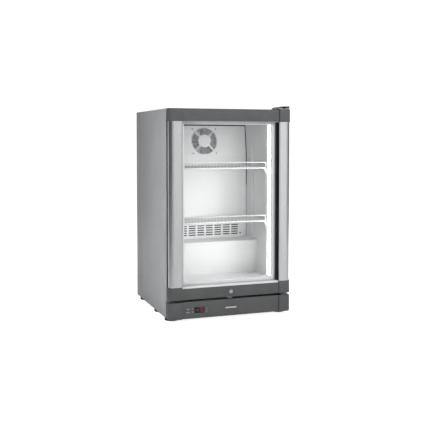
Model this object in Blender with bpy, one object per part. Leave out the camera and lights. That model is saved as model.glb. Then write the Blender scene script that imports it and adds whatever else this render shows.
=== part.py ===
"""An under-counter glass-door display fridge, as separate pieces with real joints.

Metres, +Z up. The origin is on the floor, in the middle of the footprint. The door faces -Y.
"""

import math

import bmesh
import bpy
from mathutils import Matrix, Vector

# Overall size, from the floor to the hinge cover and from the door to the wall behind.
WIDTH = 0.497
DEPTH = 0.548
HEIGHT = 0.816
FOOT_HEIGHT = 0.011
HINGE_RISE = 0.013
REAR_SPACE = 0.0445
CLEARANCE = 0.0003

# Cabinet body.
SHEET = 0.001
BASE_SHEET = 0.002
SIDE_WALL = 0.037
TOP_WALL = 0.050
FLOOR_WALL = 0.037
LINER = 0.0015
COLLAR = 0.0012
DOOR_SPACE = 0.0435
INTERIOR_FLOOR = 0.1165
STEP_DEPTH = 0.2065
STEP_RISE = 0.1335
PLINTH_HEIGHT = 0.064

# Door.
DOOR_THICKNESS = 0.033
DOOR_GAP = 0.009
TOP_CAP_HEIGHT = 0.048
BOTTOM_CAP_HEIGHT = 0.0485
CORNER_RADIUS = 0.013
CAP_RECESS = 0.006
PROFILE_WIDTH = 0.051
PROFILE_TO_DOOR_REAR = 0.010
PROFILE_INSET = 0.003
PROFILE_WALL = 0.002
GLASS = 0.004
GLASS_SILL = 0.0145
UNIT_DEPTH = 0.0135
GASKET_WIDTH = 0.019
HINGE_INSET = 0.017
HINGE_SETBACK = 0.016
PIN_RADIUS = 0.004
PIN_CLEARANCE = 0.0004
PIN_REACH = 0.016

# Lock, in the middle of the bottom cap.
LOCK_RADIUS = 0.008
LOCK_ABOVE_CAP = 0.021
LOCK_FACE_SETBACK = 0.0035
CAM_TO_BOLT = 0.0015
BOLT_WIDTH = 0.010
BOLT_DEPTH = 0.006
BOLT_TO_DOOR_REAR = 0.0035
STRIKE_HEIGHT = 0.0065

# Evaporator, its cover and the fan.
COVER_TO_REAR = 0.0955
COVER_SHEET = 0.0015
COVER_LEAN = 0.017
COVER_TOP_GAP = 0.008
COIL_DEPTH = 0.052
FAN_OFFSET = 0.0195
FAN_FRAME = 0.120
FAN_WALL = 0.0035
FAN_MARGIN = 0.007
FAN_DEPTH = 0.026
FAN_HUB = 0.0285
MOTOR_DEPTH = 0.010
BLADES = 7
VENT_COLUMNS = 9
VENT_ROWS = 5
VENT_PITCH = 0.0388
VENT_LENGTH = 0.031
VENT_ROW_PITCH = 0.0098
VENT_HEIGHT = 0.005
VENT_ABOVE_STEP = 0.0355

# Shelves and the slotted rails that carry them.
RAIL_WIDTH = 0.018
RAIL_DEPTH = 0.004
RAIL_ABOVE_STEP = 0.026
FRONT_RAIL = 0.140
REAR_RAIL_TO_COVER = 0.072
RAIL_TOP_GAP = 0.098
SLOT_PITCH = 0.024
SLOT_LENGTH = 0.010
SLOT_WIDTH = 0.007
FIRST_SLOT = 0.0155
LOWER_SHELF_SLOT = 2
UPPER_SHELF_FROM_TOP = 4
SHELF_FRONT = 0.135
SHELF_TO_COVER = 0.006
SHELF_SIDE_GAP = 0.010
WIRE = 0.003
WIRE_GAPS = 16
GUARD_HEIGHT = 0.025
GUARD_RADIUS = 0.010

# Lamp on the right wall.
LAMP_FROM_FRONT = 0.098
LAMP_WIDTH = 0.032
LAMP_DEPTH = 0.010
LAMP_BASE = 0.002
LAMP_END_GAP = 0.002

# Control panel in the plinth.
DISPLAY_CENTRE = 0.1215
DISPLAY_WIDTH = 0.039
DISPLAY_HEIGHT = 0.022
DISPLAY_ABOVE_PLINTH = 0.031
BUTTON_WIDTH = 0.0066
BUTTON_HEIGHT = 0.0054
BUTTON_TRAVEL = 0.001
BUTTON_PROUD = 0.0012
BUTTON_COLUMNS = {"left": 0.094, "right": 0.1505}
BUTTON_ROWS = {"lower": 0.0255, "upper": 0.0365}
PANEL_WALL = 0.003
BADGE_WIDTH = 0.047
BADGE_HEIGHT = 0.0055

# Machine compartment.
COMPRESSOR_LENGTH = 0.150
COMPRESSOR_WIDTH = 0.110
COMPRESSOR_HEIGHT = 0.125
COMPRESSOR_OFFSET = 0.110
COMPRESSOR_LIFT = 0.012
COMPRESSOR_TO_REAR = 0.1085
PIPE_RADIUS = 0.003
CONDENSER_MARGIN = 0.0885
CONDENSER_HEIGHT = 0.440
CONDENSER_DEPTH = 0.005
CONDENSER_GAP = 0.010
SPACER_WIDTH = 0.030
SPACER_HEIGHT = 0.045

# Feet: distance behind the front plane or ahead of the cabinet's rear, and in from the side.
FRONT_FOOT = 0.062
MIDDLE_FOOT = 0.214
REAR_FOOT_TO_REAR = 0.0575
FOOT_INSET = 0.028
FOOT_RADIUS = 0.017

LEFT = -WIDTH / 2
RIGHT = WIDTH / 2
FRONT = -DEPTH / 2
TOP = HEIGHT - HINGE_RISE
BOTTOM = FOOT_HEIGHT
CABINET_FRONT = FRONT + DOOR_SPACE
CABINET_REAR = DEPTH / 2 - REAR_SPACE
INNER_LEFT = LEFT + SIDE_WALL
INNER_RIGHT = RIGHT - SIDE_WALL
INNER_FLOOR = BOTTOM + INTERIOR_FLOOR
INNER_TOP = TOP - TOP_WALL
INNER_REAR = CABINET_REAR - SIDE_WALL
STEP_FRONT = INNER_REAR - STEP_DEPTH
STEP_TOP = INNER_FLOOR + STEP_RISE
PLINTH_TOP = BOTTOM + PLINTH_HEIGHT
DOOR_BOTTOM = PLINTH_TOP + DOOR_GAP
GLASS_BOTTOM = DOOR_BOTTOM + BOTTOM_CAP_HEIGHT
GLASS_TOP = TOP - TOP_CAP_HEIGHT
HINGE_X = RIGHT - HINGE_INSET
HINGE_Y = FRONT + HINGE_SETBACK
COVER_Y = INNER_REAR - COVER_TO_REAR
FAN_BORE = FAN_FRAME / 2 - FAN_WALL
FAN_ABOVE_BEND = FAN_FRAME / 2 + 0.002
COVER_LEAN_HEIGHT = FAN_FRAME + FAN_MARGIN
COVER_TOP = INNER_TOP - COVER_TOP_GAP
BEND_Z = COVER_TOP - COVER_LEAN_HEIGHT
LEAN_ANGLE = math.atan2(COVER_LEAN, COVER_LEAN_HEIGHT)
RAIL_BOTTOM = STEP_TOP + RAIL_ABOVE_STEP
SLOT_COUNT = int((INNER_TOP - RAIL_TOP_GAP - RAIL_BOTTOM - 2 * FIRST_SLOT) / SLOT_PITCH) + 1
RAIL_TOP = RAIL_BOTTOM + (SLOT_COUNT - 1) * SLOT_PITCH + 2 * FIRST_SLOT
REAR_RAIL = COVER_Y - REAR_RAIL_TO_COVER - FRONT
SHELF_SLOTS = {"lower_shelf": LOWER_SHELF_SLOT, "upper_shelf": SLOT_COUNT - UPPER_SHELF_FROM_TOP}
LOCK_Z = DOOR_BOTTOM + LOCK_ABOVE_CAP
PROFILE_DEPTH = DOOR_THICKNESS - PROFILE_TO_DOOR_REAR
BOLT_SETBACK = DOOR_THICKNESS - BOLT_TO_DOOR_REAR - BOLT_DEPTH
LOCK_LENGTH = BOLT_SETBACK - CAM_TO_BOLT - 0.002 - LOCK_FACE_SETBACK
FOAM_FLOOR = INNER_FLOOR - FLOOR_WALL
STEP_CEILING = STEP_TOP - FLOOR_WALL
DECK = BOTTOM + BASE_SHEET

# Colour (linear), roughness and metallic value of each finish.
FINISHES = {
    "grey_steel": ((0.24, 0.24, 0.245), 0.42, 0.6),
    "zinc_steel": ((0.45, 0.46, 0.47), 0.45, 0.9),
    "dark_plastic": ((0.10, 0.10, 0.10), 0.5, 0.0),
    "black_plastic": ((0.015, 0.015, 0.015), 0.5, 0.0),
    "white_plastic": ((0.78, 0.79, 0.80), 0.4, 0.0),
    "grey_plastic": ((0.42, 0.42, 0.43), 0.5, 0.0),
    "foam": ((0.75, 0.62, 0.32), 0.9, 0.0),
    "aluminium": ((0.62, 0.62, 0.63), 0.35, 1.0),
    "white_wire": ((0.80, 0.80, 0.81), 0.35, 0.0),
    "glass": ((0.75, 0.85, 0.85), 0.05, 0.0),
    "lamp": ((0.95, 0.97, 1.0), 0.3, 0.0),
    "rubber": ((0.03, 0.03, 0.03), 0.8, 0.0),
    "copper": ((0.70, 0.35, 0.20), 0.3, 1.0),
    "chrome": ((0.70, 0.70, 0.72), 0.12, 1.0),
    "black_enamel": ((0.02, 0.02, 0.02), 0.3, 0.0),
}


def clear_scene():
    for obj in list(bpy.data.objects):
        bpy.data.objects.remove(obj, do_unlink=True)


def add_material(name, finish):
    colour, roughness, metallic = FINISHES[finish]
    material = bpy.data.materials.new(name)
    material.use_nodes = True
    shader = material.node_tree.nodes["Principled BSDF"]
    shader.inputs["Base Color"].default_value = (*colour, 1.0)
    shader.inputs["Roughness"].default_value = roughness
    shader.inputs["Metallic"].default_value = metallic
    return material


def add_object(name, shape, finish, parent=None, smooth=False):
    """Turns a bmesh into a named object. A parent empty keeps the object where its mesh is."""
    bmesh.ops.recalc_face_normals(shape, faces=shape.faces)
    mesh = bpy.data.meshes.new(name)
    shape.to_mesh(mesh)
    shape.free()
    obj = bpy.data.objects.new(name, mesh)
    bpy.context.scene.collection.objects.link(obj)
    obj.data.materials.append(add_material(name, finish))
    if smooth:
        mesh.shade_smooth()
        mesh.set_sharp_from_angle(angle=math.radians(35))
    if parent:
        obj.parent = parent
        obj.matrix_parent_inverse = parent.matrix_basis.inverted()
    return obj


def add_axis(name, location, tilt=0.0):
    """An empty on a joint's axis; tilt turns it about X."""
    empty = bpy.data.objects.new(name, None)
    bpy.context.scene.collection.objects.link(empty)
    empty.location = location
    empty.rotation_euler = (tilt, 0.0, 0.0)
    empty.empty_display_size = 0.05
    return empty


def combine(obj, shape, operation, local_parent=None):
    """Cuts a shape out of an object (DIFFERENCE), or joins it on (UNION)."""
    tool = add_object(f"{obj.name}_{operation.lower()}_{len(obj.modifiers)}", shape, "grey_plastic")
    tool.hide_render = True
    tool.display_type = "WIRE"
    if local_parent:
        tool.parent = local_parent
    modifier = obj.modifiers.new(tool.name, "BOOLEAN")
    modifier.operation = operation
    modifier.solver = "EXACT"
    modifier.object = tool


def extrusion(outline, axis, start, end):
    """Pushes a flat outline along an axis. Its points hold the other two coordinates in X, Y, Z order."""
    index = "XYZ".index(axis)
    shape = bmesh.new()
    corners = []
    for point in outline:
        coordinates = list(point)
        coordinates.insert(index, start)
        corners.append(shape.verts.new(coordinates))
    face = shape.faces.new(corners)
    pushed = bmesh.ops.extrude_face_region(shape, geom=[face])["geom"]
    step = Vector((0.0, 0.0, 0.0))
    step[index] = end - start
    bmesh.ops.translate(shape, verts=[g for g in pushed if isinstance(g, bmesh.types.BMVert)], vec=step)
    return shape


def rectangle(a0, a1, b0, b1):
    return [(a0, b0), (a1, b0), (a1, b1), (a0, b1)]


def block(x0, x1, y0, y1, z0, z1):
    return extrusion(rectangle(x0, x1, y0, y1), "Z", z0, z1)


def blocks(boxes):
    """Several separate blocks in one shape."""
    shape = bmesh.new()
    for x0, x1, y0, y1, z0, z1 in boxes:
        made = bmesh.ops.create_cube(shape, size=1.0)["verts"]
        bmesh.ops.scale(shape, verts=made, vec=(x1 - x0, y1 - y0, z1 - z0))
        bmesh.ops.translate(shape, verts=made, vec=((x0 + x1) / 2, (y0 + y1) / 2, (z0 + z1) / 2))
    return shape


def arc(centre_a, centre_b, radius, start, end, steps):
    """Points of an arc, with its angles in degrees."""
    points = []
    for step in range(steps + 1):
        angle = math.radians(start + (end - start) * step / steps)
        points.append((centre_a + radius * math.cos(angle), centre_b + radius * math.sin(angle)))
    return points


def rounded_rectangle(a0, a1, b0, b1, radius, steps=4):
    points = arc(a1 - radius, b1 - radius, radius, 0, 90, steps)
    points += arc(a0 + radius, b1 - radius, radius, 90, 180, steps)
    points += arc(a0 + radius, b0 + radius, radius, 180, 270, steps)
    points += arc(a1 - radius, b0 + radius, radius, 270, 360, steps)
    return points


def ring(outer, inner, axis, start, end):
    """A rectangular frame: outer and inner are (a0, a1, b0, b1) in the plane across the axis."""
    index = "XYZ".index(axis)
    shape = bmesh.new()
    loops = []
    for a0, a1, b0, b1 in (outer, inner):
        corners = []
        for point in rectangle(a0, a1, b0, b1):
            coordinates = list(point)
            coordinates.insert(index, start)
            corners.append(shape.verts.new(coordinates))
        loops += [shape.edges.new((corners[i], corners[(i + 1) % 4])) for i in range(4)]
    faces = bmesh.ops.bridge_loops(shape, edges=loops)["faces"]
    pushed = bmesh.ops.extrude_face_region(shape, geom=faces)["geom"]
    step = Vector((0.0, 0.0, 0.0))
    step[index] = end - start
    bmesh.ops.translate(shape, verts=[g for g in pushed if isinstance(g, bmesh.types.BMVert)], vec=step)
    return shape


def cylinder(centre, axis, radius, length, segments=24, top_radius=None):
    """A round bar that starts at centre and runs along an axis."""
    turn = {"X": Matrix.Rotation(math.pi / 2, 4, "Y"), "Y": Matrix.Rotation(-math.pi / 2, 4, "X")}
    shape = bmesh.new()
    along = Matrix.Translation((0.0, 0.0, length / 2))
    bmesh.ops.create_cone(
        shape,
        cap_ends=True,
        segments=segments,
        radius1=radius,
        radius2=radius if top_radius is None else top_radius,
        depth=length,
        matrix=Matrix.Translation(centre) @ turn.get(axis, Matrix.Identity(4)) @ along,
    )
    return shape


def lattice(a_bars, b_bars, axis, start, end):
    """Crossing flat bars in one piece. Each bar is its (low, high) coordinate in the plane across the axis."""
    a_lines = sorted(value for bar in a_bars for value in bar)
    b_lines = sorted(value for bar in b_bars for value in bar)
    index = "XYZ".index(axis)
    shape = bmesh.new()
    grid = {}
    for i, a in enumerate(a_lines):
        for j, b in enumerate(b_lines):
            coordinates = [a, b]
            coordinates.insert(index, start)
            grid[i, j] = shape.verts.new(coordinates)
    for i in range(len(a_lines) - 1):
        for j in range(len(b_lines) - 1):
            if i % 2 == 0 or j % 2 == 0:
                shape.faces.new((grid[i, j], grid[i + 1, j], grid[i + 1, j + 1], grid[i, j + 1]))
    pushed = bmesh.ops.extrude_face_region(shape, geom=shape.faces[:])["geom"]
    step = Vector((0.0, 0.0, 0.0))
    step[index] = end - start
    bmesh.ops.translate(shape, verts=[g for g in pushed if isinstance(g, bmesh.types.BMVert)], vec=step)
    return shape


def even_bars(low, high, count, width):
    """Bars of one width, the first at low and the last ending at high."""
    pitch = (high - low - width) / (count - 1)
    return [(low + i * pitch, low + i * pitch + width) for i in range(count)]


# ---- cabinet ----


def tub_outline(front, grow):
    """Side view of the stepped storage space, grown outwards by grow."""
    return [
        (front, INNER_FLOOR - grow),
        (STEP_FRONT + grow, INNER_FLOOR - grow),
        (STEP_FRONT + grow, STEP_TOP - grow),
        (INNER_REAR + grow, STEP_TOP - grow),
        (INNER_REAR + grow, INNER_TOP + grow),
        (front, INNER_TOP + grow),
    ]


def cabinet_panels():
    shell_left = LEFT + SHEET + CLEARANCE
    shell_right = RIGHT - SHEET - CLEARANCE
    for name, x0 in (("left_side_panel", LEFT), ("right_side_panel", RIGHT - SHEET)):
        shape = block(x0, x0 + SHEET, CABINET_FRONT, CABINET_REAR, BOTTOM, TOP)
        add_object(name, shape, "grey_steel")
    shape = block(shell_left, shell_right, CABINET_FRONT, CABINET_REAR, TOP - SHEET, TOP)
    add_object("top_panel", shape, "grey_steel")
    below_top = TOP - SHEET - CLEARANCE
    shape = block(shell_left, shell_right, CABINET_REAR - SHEET, CABINET_REAR, STEP_CEILING, below_top)
    add_object("back_panel", shape, "zinc_steel")
    shape = block(shell_left, shell_right, CABINET_FRONT, CABINET_REAR - SHEET - CLEARANCE, BOTTOM, DECK)
    add_object("base_plate", shape, "zinc_steel")


def insulation_foam():
    front = CABINET_FRONT + COLLAR + CLEARANCE
    rear = CABINET_REAR - SHEET - CLEARANCE
    outline = [
        (front, FOAM_FLOOR),
        (STEP_FRONT + SIDE_WALL, FOAM_FLOOR),
        (STEP_FRONT + SIDE_WALL, STEP_CEILING),
        (rear, STEP_CEILING),
        (rear, TOP - SHEET - CLEARANCE),
        (front, TOP - SHEET - CLEARANCE),
    ]
    inset = SHEET + CLEARANCE
    foam = add_object("insulation_foam", extrusion(outline, "X", LEFT + inset, RIGHT - inset), "foam")
    grow = LINER + CLEARANCE
    hollow = extrusion(tub_outline(front - LINER, grow), "X", INNER_LEFT - grow, INNER_RIGHT + grow)
    combine(foam, hollow, "DIFFERENCE")


def inner_liner():
    front = CABINET_FRONT + COLLAR + CLEARANCE
    tub = extrusion(tub_outline(front, LINER), "X", INNER_LEFT - LINER, INNER_RIGHT + LINER)
    liner = add_object("inner_liner", tub, "white_plastic")
    hollow = extrusion(tub_outline(front - LINER, 0.0), "X", INNER_LEFT, INNER_RIGHT)
    combine(liner, hollow, "DIFFERENCE")


def front_collar():
    """The flat face round the opening, which the door's seal closes on."""
    inset = SHEET + CLEARANCE
    outer = (LEFT + inset, RIGHT - inset, PLINTH_TOP - PLINTH_HEIGHT / 3, TOP - inset)
    inner = (INNER_LEFT, INNER_RIGHT, INNER_FLOOR, INNER_TOP)
    shape = ring(outer, inner, "Y", CABINET_FRONT, CABINET_FRONT + COLLAR)
    add_object("front_collar", shape, "white_plastic")


def compartment_grille():
    """The slotted sheet that closes the machine compartment at the rear."""
    inset = SHEET + CLEARANCE
    low = DECK + CLEARANCE
    high = STEP_CEILING - CLEARANCE
    margin = 0.030
    columns = [(LEFT + inset, LEFT + margin), (-0.010, 0.010), (RIGHT - margin, RIGHT - inset)]
    shape = lattice(columns, even_bars(low, high, 8, 0.014), "Y", CABINET_REAR - SHEET, CABINET_REAR)
    add_object("compartment_grille", shape, "zinc_steel")


# ---- evaporator, cover and fan ----


def fan_mouth():
    """Centre of the fan's opening, on the front face of the leaning part of the cover."""
    height = BEND_Z + FAN_ABOVE_BEND
    return Vector((FAN_OFFSET, COVER_Y + FAN_ABOVE_BEND * math.tan(LEAN_ANGLE), height))


def evaporator_cover(fan_axis):
    y = COVER_Y
    lean = y + COVER_LEAN
    low = STEP_TOP + CLEARANCE
    outline = [
        (y, low),
        (y + COVER_SHEET, low),
        (y + COVER_SHEET, BEND_Z),
        (lean + COVER_SHEET, COVER_TOP),
        (lean, COVER_TOP),
        (y, BEND_Z),
    ]
    shape = extrusion(outline, "X", INNER_LEFT + CLEARANCE, INNER_RIGHT - CLEARANCE)
    cover = add_object("evaporator_cover", shape, "white_plastic")
    mouth = cylinder((0, 0, -0.01), "Z", FAN_BORE, 0.02)
    combine(cover, mouth, "DIFFERENCE", fan_axis)
    slots = []
    for column in range(VENT_COLUMNS):
        x = (column - (VENT_COLUMNS - 1) / 2) * VENT_PITCH
        for row in range(VENT_ROWS):
            z = STEP_TOP + VENT_ABOVE_STEP + (row - (VENT_ROWS - 1) / 2) * VENT_ROW_PITCH
            half = VENT_HEIGHT / 2
            slots.append((x - VENT_LENGTH / 2, x + VENT_LENGTH / 2, y - 0.01, y + 0.01, z - half, z + half))
    combine(cover, blocks(slots), "DIFFERENCE")


def evaporator_coil():
    """Fins on tube runs, in the cold space behind the cover."""
    half_width = 0.170
    low = STEP_TOP + 0.060
    fins = even_bars(-half_width, half_width, 13, 0.002)
    tubes = even_bars(low, low + 0.230, 5, 0.008)
    coil = lattice(fins, tubes, "Y", INNER_REAR - COIL_DEPTH, INNER_REAR - CLEARANCE)
    add_object("evaporator_coil", coil, "aluminium")


def fan_guard(fan_axis):
    """Three rings and a middle disc on four diagonal spokes."""
    span = FAN_BORE - FAN_HUB
    inner_rings = [FAN_HUB + span * share for share in (2 / 7, 3 / 8, 37 / 56, 3 / 4)]
    radii = [0.0, FAN_HUB, *inner_rings, FAN_BORE, FAN_FRAME / 2]
    solid_rings = {0, 2, 4, 6}
    half_spoke = math.radians(3.0)
    steps = 6
    angles = []
    for quarter in range(4):
        middle = math.pi / 4 + quarter * math.pi / 2
        gap = math.pi / 2 - 2 * half_spoke
        angles.append(middle - half_spoke)
        angles += [middle + half_spoke + gap * i / steps for i in range(steps)]
    count = len(angles)
    shape = bmesh.new()
    centre = shape.verts.new((0.0, 0.0, 0.0))
    loops = [[shape.verts.new((r * math.cos(a), r * math.sin(a), 0.0)) for a in angles] for r in radii[1:]]
    for i in range(count):
        shape.faces.new((centre, loops[0][i], loops[0][(i + 1) % count]))
    for k in range(1, len(loops)):
        for i in range(count):
            if k in solid_rings or i % (steps + 1) == 0:
                j = (i + 1) % count
                shape.faces.new((loops[k - 1][i], loops[k][i], loops[k][j], loops[k - 1][j]))
    loose = [vertex for vertex in shape.verts if not vertex.link_faces]
    bmesh.ops.delete(shape, geom=loose, context="VERTS")
    pushed = bmesh.ops.extrude_face_region(shape, geom=shape.faces[:])["geom"]
    lifted = [g for g in pushed if isinstance(g, bmesh.types.BMVert)]
    bmesh.ops.translate(shape, verts=lifted, vec=(0.0, 0.0, 0.0025))
    bmesh.ops.translate(shape, verts=shape.verts, vec=(0.0, 0.0, CLEARANCE))
    guard = add_object("fan_guard", shape, "white_plastic")
    guard.parent = fan_axis


def fan_housing(fan_axis):
    """Square frame with a round bore; four arms at the rear hold the motor."""
    back = -COVER_SHEET - 2 * CLEARANCE
    half = FAN_FRAME / 2
    shape = block(-half, half, -half, half, back - FAN_DEPTH, back)
    housing = add_object("fan_housing", shape, "black_plastic", smooth=True)
    housing.parent = fan_axis
    combine(housing, cylinder((0, 0, back - 2 * FAN_DEPTH), "Z", FAN_BORE, 3 * FAN_DEPTH), "DIFFERENCE", fan_axis)
    rear = back - FAN_DEPTH
    arms = block(-half + 0.002, half - 0.002, -0.004, 0.004, rear, rear + 0.003)
    combine(housing, arms, "UNION", fan_axis)
    arms = block(-0.004, 0.004, -half + 0.002, half - 0.002, rear, rear + 0.003)
    combine(housing, arms, "UNION", fan_axis)
    combine(housing, cylinder((0, 0, rear), "Z", FAN_HUB - 0.008, MOTOR_DEPTH, 16), "UNION", fan_axis)


def fan_impeller(fan_axis):
    """A hub with pitched blades, turning on the motor's shaft."""
    back = -COVER_SHEET - 2 * CLEARANCE - FAN_DEPTH + MOTOR_DEPTH + CLEARANCE
    hub_depth = 0.012
    hub = add_object("fan_impeller", cylinder((0, 0, back), "Z", FAN_HUB - 0.006, hub_depth, 21), "black_plastic")
    hub.parent = fan_axis
    blades = bmesh.new()
    for index in range(BLADES):
        made = bmesh.ops.create_cube(blades, size=1.0)["verts"]
        inner = FAN_HUB - 0.008
        outer = FAN_BORE - 0.003
        bmesh.ops.scale(blades, verts=made, vec=(outer - inner, 0.016, 0.0016))
        turn = Matrix.Rotation(math.tau * index / BLADES, 4, "Z")
        pitch = Matrix.Rotation(math.radians(32), 4, "X")
        place = turn @ Matrix.Translation(((inner + outer) / 2, 0.0, back + hub_depth / 2)) @ pitch
        bmesh.ops.transform(blades, matrix=place, verts=made)
    combine(hub, blades, "UNION", fan_axis)


# ---- shelves, rails and lamp ----


def slot_height(number):
    return RAIL_BOTTOM + FIRST_SLOT + number * SLOT_PITCH


def shelf_rails():
    """Four slotted strips on the side walls."""
    half = RAIL_WIDTH / 2
    slots = [slot_height(number) for number in range(SLOT_COUNT)]
    edges = [RAIL_BOTTOM] + [z + side * SLOT_LENGTH / 2 for z in slots for side in (-1, 1)] + [RAIL_TOP]
    rungs = [(edges[i], edges[i + 1]) for i in range(0, len(edges), 2)]
    for row, distance in (("front", FRONT_RAIL), ("rear", REAR_RAIL)):
        y = FRONT + distance
        sides = [(y - half, y - SLOT_WIDTH / 2), (y + SLOT_WIDTH / 2, y + half)]
        walls = {
            "left": (INNER_LEFT + CLEARANCE, INNER_LEFT + CLEARANCE + RAIL_DEPTH),
            "right": (INNER_RIGHT - CLEARANCE - RAIL_DEPTH, INNER_RIGHT - CLEARANCE),
        }
        for side, (x0, x1) in walls.items():
            add_object(f"shelf_rail_{row}_{side}", lattice(sides, rungs, "X", x0, x1), "white_wire")


def shelf(name, slot):
    """Welded wire tray with a raised front wire and a bracket at each rail."""
    plane = slot_height(slot) + SLOT_LENGTH / 2
    left = INNER_LEFT + SHELF_SIDE_GAP
    right = INNER_RIGHT - SHELF_SIDE_GAP
    front = FRONT + SHELF_FRONT
    rear = COVER_Y - SHELF_TO_COVER
    along = even_bars(left, right, WIRE_GAPS + 1, WIRE)
    across = even_bars(front, rear, 3, WIRE * 1.5)
    tray = add_object(name, lattice(along, across, "Z", plane, plane + WIRE), "white_wire")

    top = plane + WIRE + GUARD_HEIGHT
    radius = GUARD_RADIUS
    outline = [(left, plane + WIRE / 2)]
    outline += arc(left + radius, top - radius, radius, 180, 90, 4)
    outline += arc(right - radius, top - radius, radius, 90, 0, 4)
    outline += [(right, plane + WIRE / 2), (right - WIRE, plane + WIRE / 2)]
    outline += arc(right - radius, top - radius, radius - WIRE, 0, 90, 4)
    outline += arc(left + radius, top - radius, radius - WIRE, 90, 180, 4)
    outline += [(left + WIRE, plane + WIRE / 2)]
    combine(tray, extrusion(outline, "Y", front, front + WIRE), "UNION")

    rail_face = INNER_RIGHT - CLEARANCE - RAIL_DEPTH
    upper = plane + WIRE * 0.8
    tab = SLOT_LENGTH / 2 - CLEARANCE
    z = slot_height(slot)
    for distance in (FRONT_RAIL, REAR_RAIL):
        y = FRONT + distance
        for side in (-1, 1):
            outline = [
                (side * (right - 0.020), upper),
                (side * (rail_face - CLEARANCE), upper),
                (side * (rail_face - CLEARANCE), z + tab),
                (side * (rail_face + RAIL_DEPTH * 0.7), z + tab),
                (side * (rail_face + RAIL_DEPTH * 0.7), z - tab),
                (side * (rail_face - CLEARANCE), z - tab),
                (side * (rail_face - CLEARANCE), z - 0.030),
                (side * (rail_face - 0.004), z - 0.030),
                (side * (right - 0.020), plane + WIRE * 0.2),
            ]
            combine(tray, extrusion(outline, "Y", y - WIRE / 2, y + WIRE / 2), "UNION")


def lamp():
    """A tall light strip: a base channel and the diffuser clipped on it."""
    low = INNER_FLOOR + LAMP_END_GAP
    high = INNER_TOP - LAMP_END_GAP
    y0 = FRONT + LAMP_FROM_FRONT
    y1 = y0 + LAMP_WIDTH
    wall = INNER_RIGHT - CLEARANCE
    base = wall - LAMP_BASE
    add_object("lamp_base", block(base, wall, y0, y1, low, high), "white_plastic")
    face = INNER_RIGHT - LAMP_DEPTH
    chamfer = 0.003
    outline = [
        (base - CLEARANCE, y0),
        (base - CLEARANCE, y1),
        (face + chamfer, y1),
        (face, y1 - chamfer),
        (face, y0 + chamfer),
        (face + chamfer, y0),
    ]
    add_object("lamp_diffuser", extrusion(outline, "Z", low, high), "lamp")


# ---- plinth, controls and feet ----


def front_outline(rear, side_inset=0.0):
    """Plan of the caps and the plinth: round front corners, and a middle set back between end blocks."""
    left = LEFT + side_inset
    right = RIGHT - side_inset
    block_end = PROFILE_INSET + PROFILE_WIDTH - 0.003
    points = [(left, rear)]
    points += arc(left + CORNER_RADIUS, FRONT + CORNER_RADIUS, CORNER_RADIUS, 180, 270, 5)
    points += [(LEFT + block_end, FRONT), (LEFT + block_end + 0.002, FRONT + CAP_RECESS)]
    points += [(RIGHT - block_end - 0.002, FRONT + CAP_RECESS), (RIGHT - block_end, FRONT)]
    points += arc(right - CORNER_RADIUS, FRONT + CORNER_RADIUS, CORNER_RADIUS, 270, 360, 5)
    points += [(right, rear)]
    return points


def window_opening():
    """X and Z limits of the display window."""
    x = LEFT + DISPLAY_CENTRE
    z = BOTTOM + DISPLAY_ABOVE_PLINTH
    return x - DISPLAY_WIDTH / 2, x + DISPLAY_WIDTH / 2, z - DISPLAY_HEIGHT / 2, z + DISPLAY_HEIGHT / 2


def button_places():
    for column, distance in BUTTON_COLUMNS.items():
        for row, height in BUTTON_ROWS.items():
            yield f"button_{row}_{column}", LEFT + distance, BOTTOM + height


def plinth_panel():
    rear = CABINET_FRONT - CLEARANCE
    plinth = add_object("plinth_panel", extrusion(front_outline(rear), "Z", BOTTOM, PLINTH_TOP), "dark_plastic")
    wall = PANEL_WALL
    inside = FRONT + CAP_RECESS + wall
    hollow = block(LEFT + wall, RIGHT - wall, FRONT + CORNER_RADIUS, rear + wall, BOTTOM + wall, PLINTH_TOP - wall)
    combine(plinth, hollow, "DIFFERENCE")
    middle = PROFILE_INSET + PROFILE_WIDTH + wall
    hollow = block(LEFT + middle, RIGHT - middle, inside, rear, BOTTOM + wall, PLINTH_TOP - wall)
    combine(plinth, hollow, "DIFFERENCE")
    x0, x1, z0, z1 = window_opening()
    openings = [(x0 - CLEARANCE, x1 + CLEARANCE, FRONT, inside + wall, z0 - CLEARANCE, z1 + CLEARANCE)]
    for _, x, z in button_places():
        half_width = BUTTON_WIDTH / 2 + CLEARANCE
        half_height = BUTTON_HEIGHT / 2 + CLEARANCE
        openings.append((x - half_width, x + half_width, FRONT, inside + wall, z - half_height, z + half_height))
    combine(plinth, blocks(openings), "DIFFERENCE")


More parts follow.
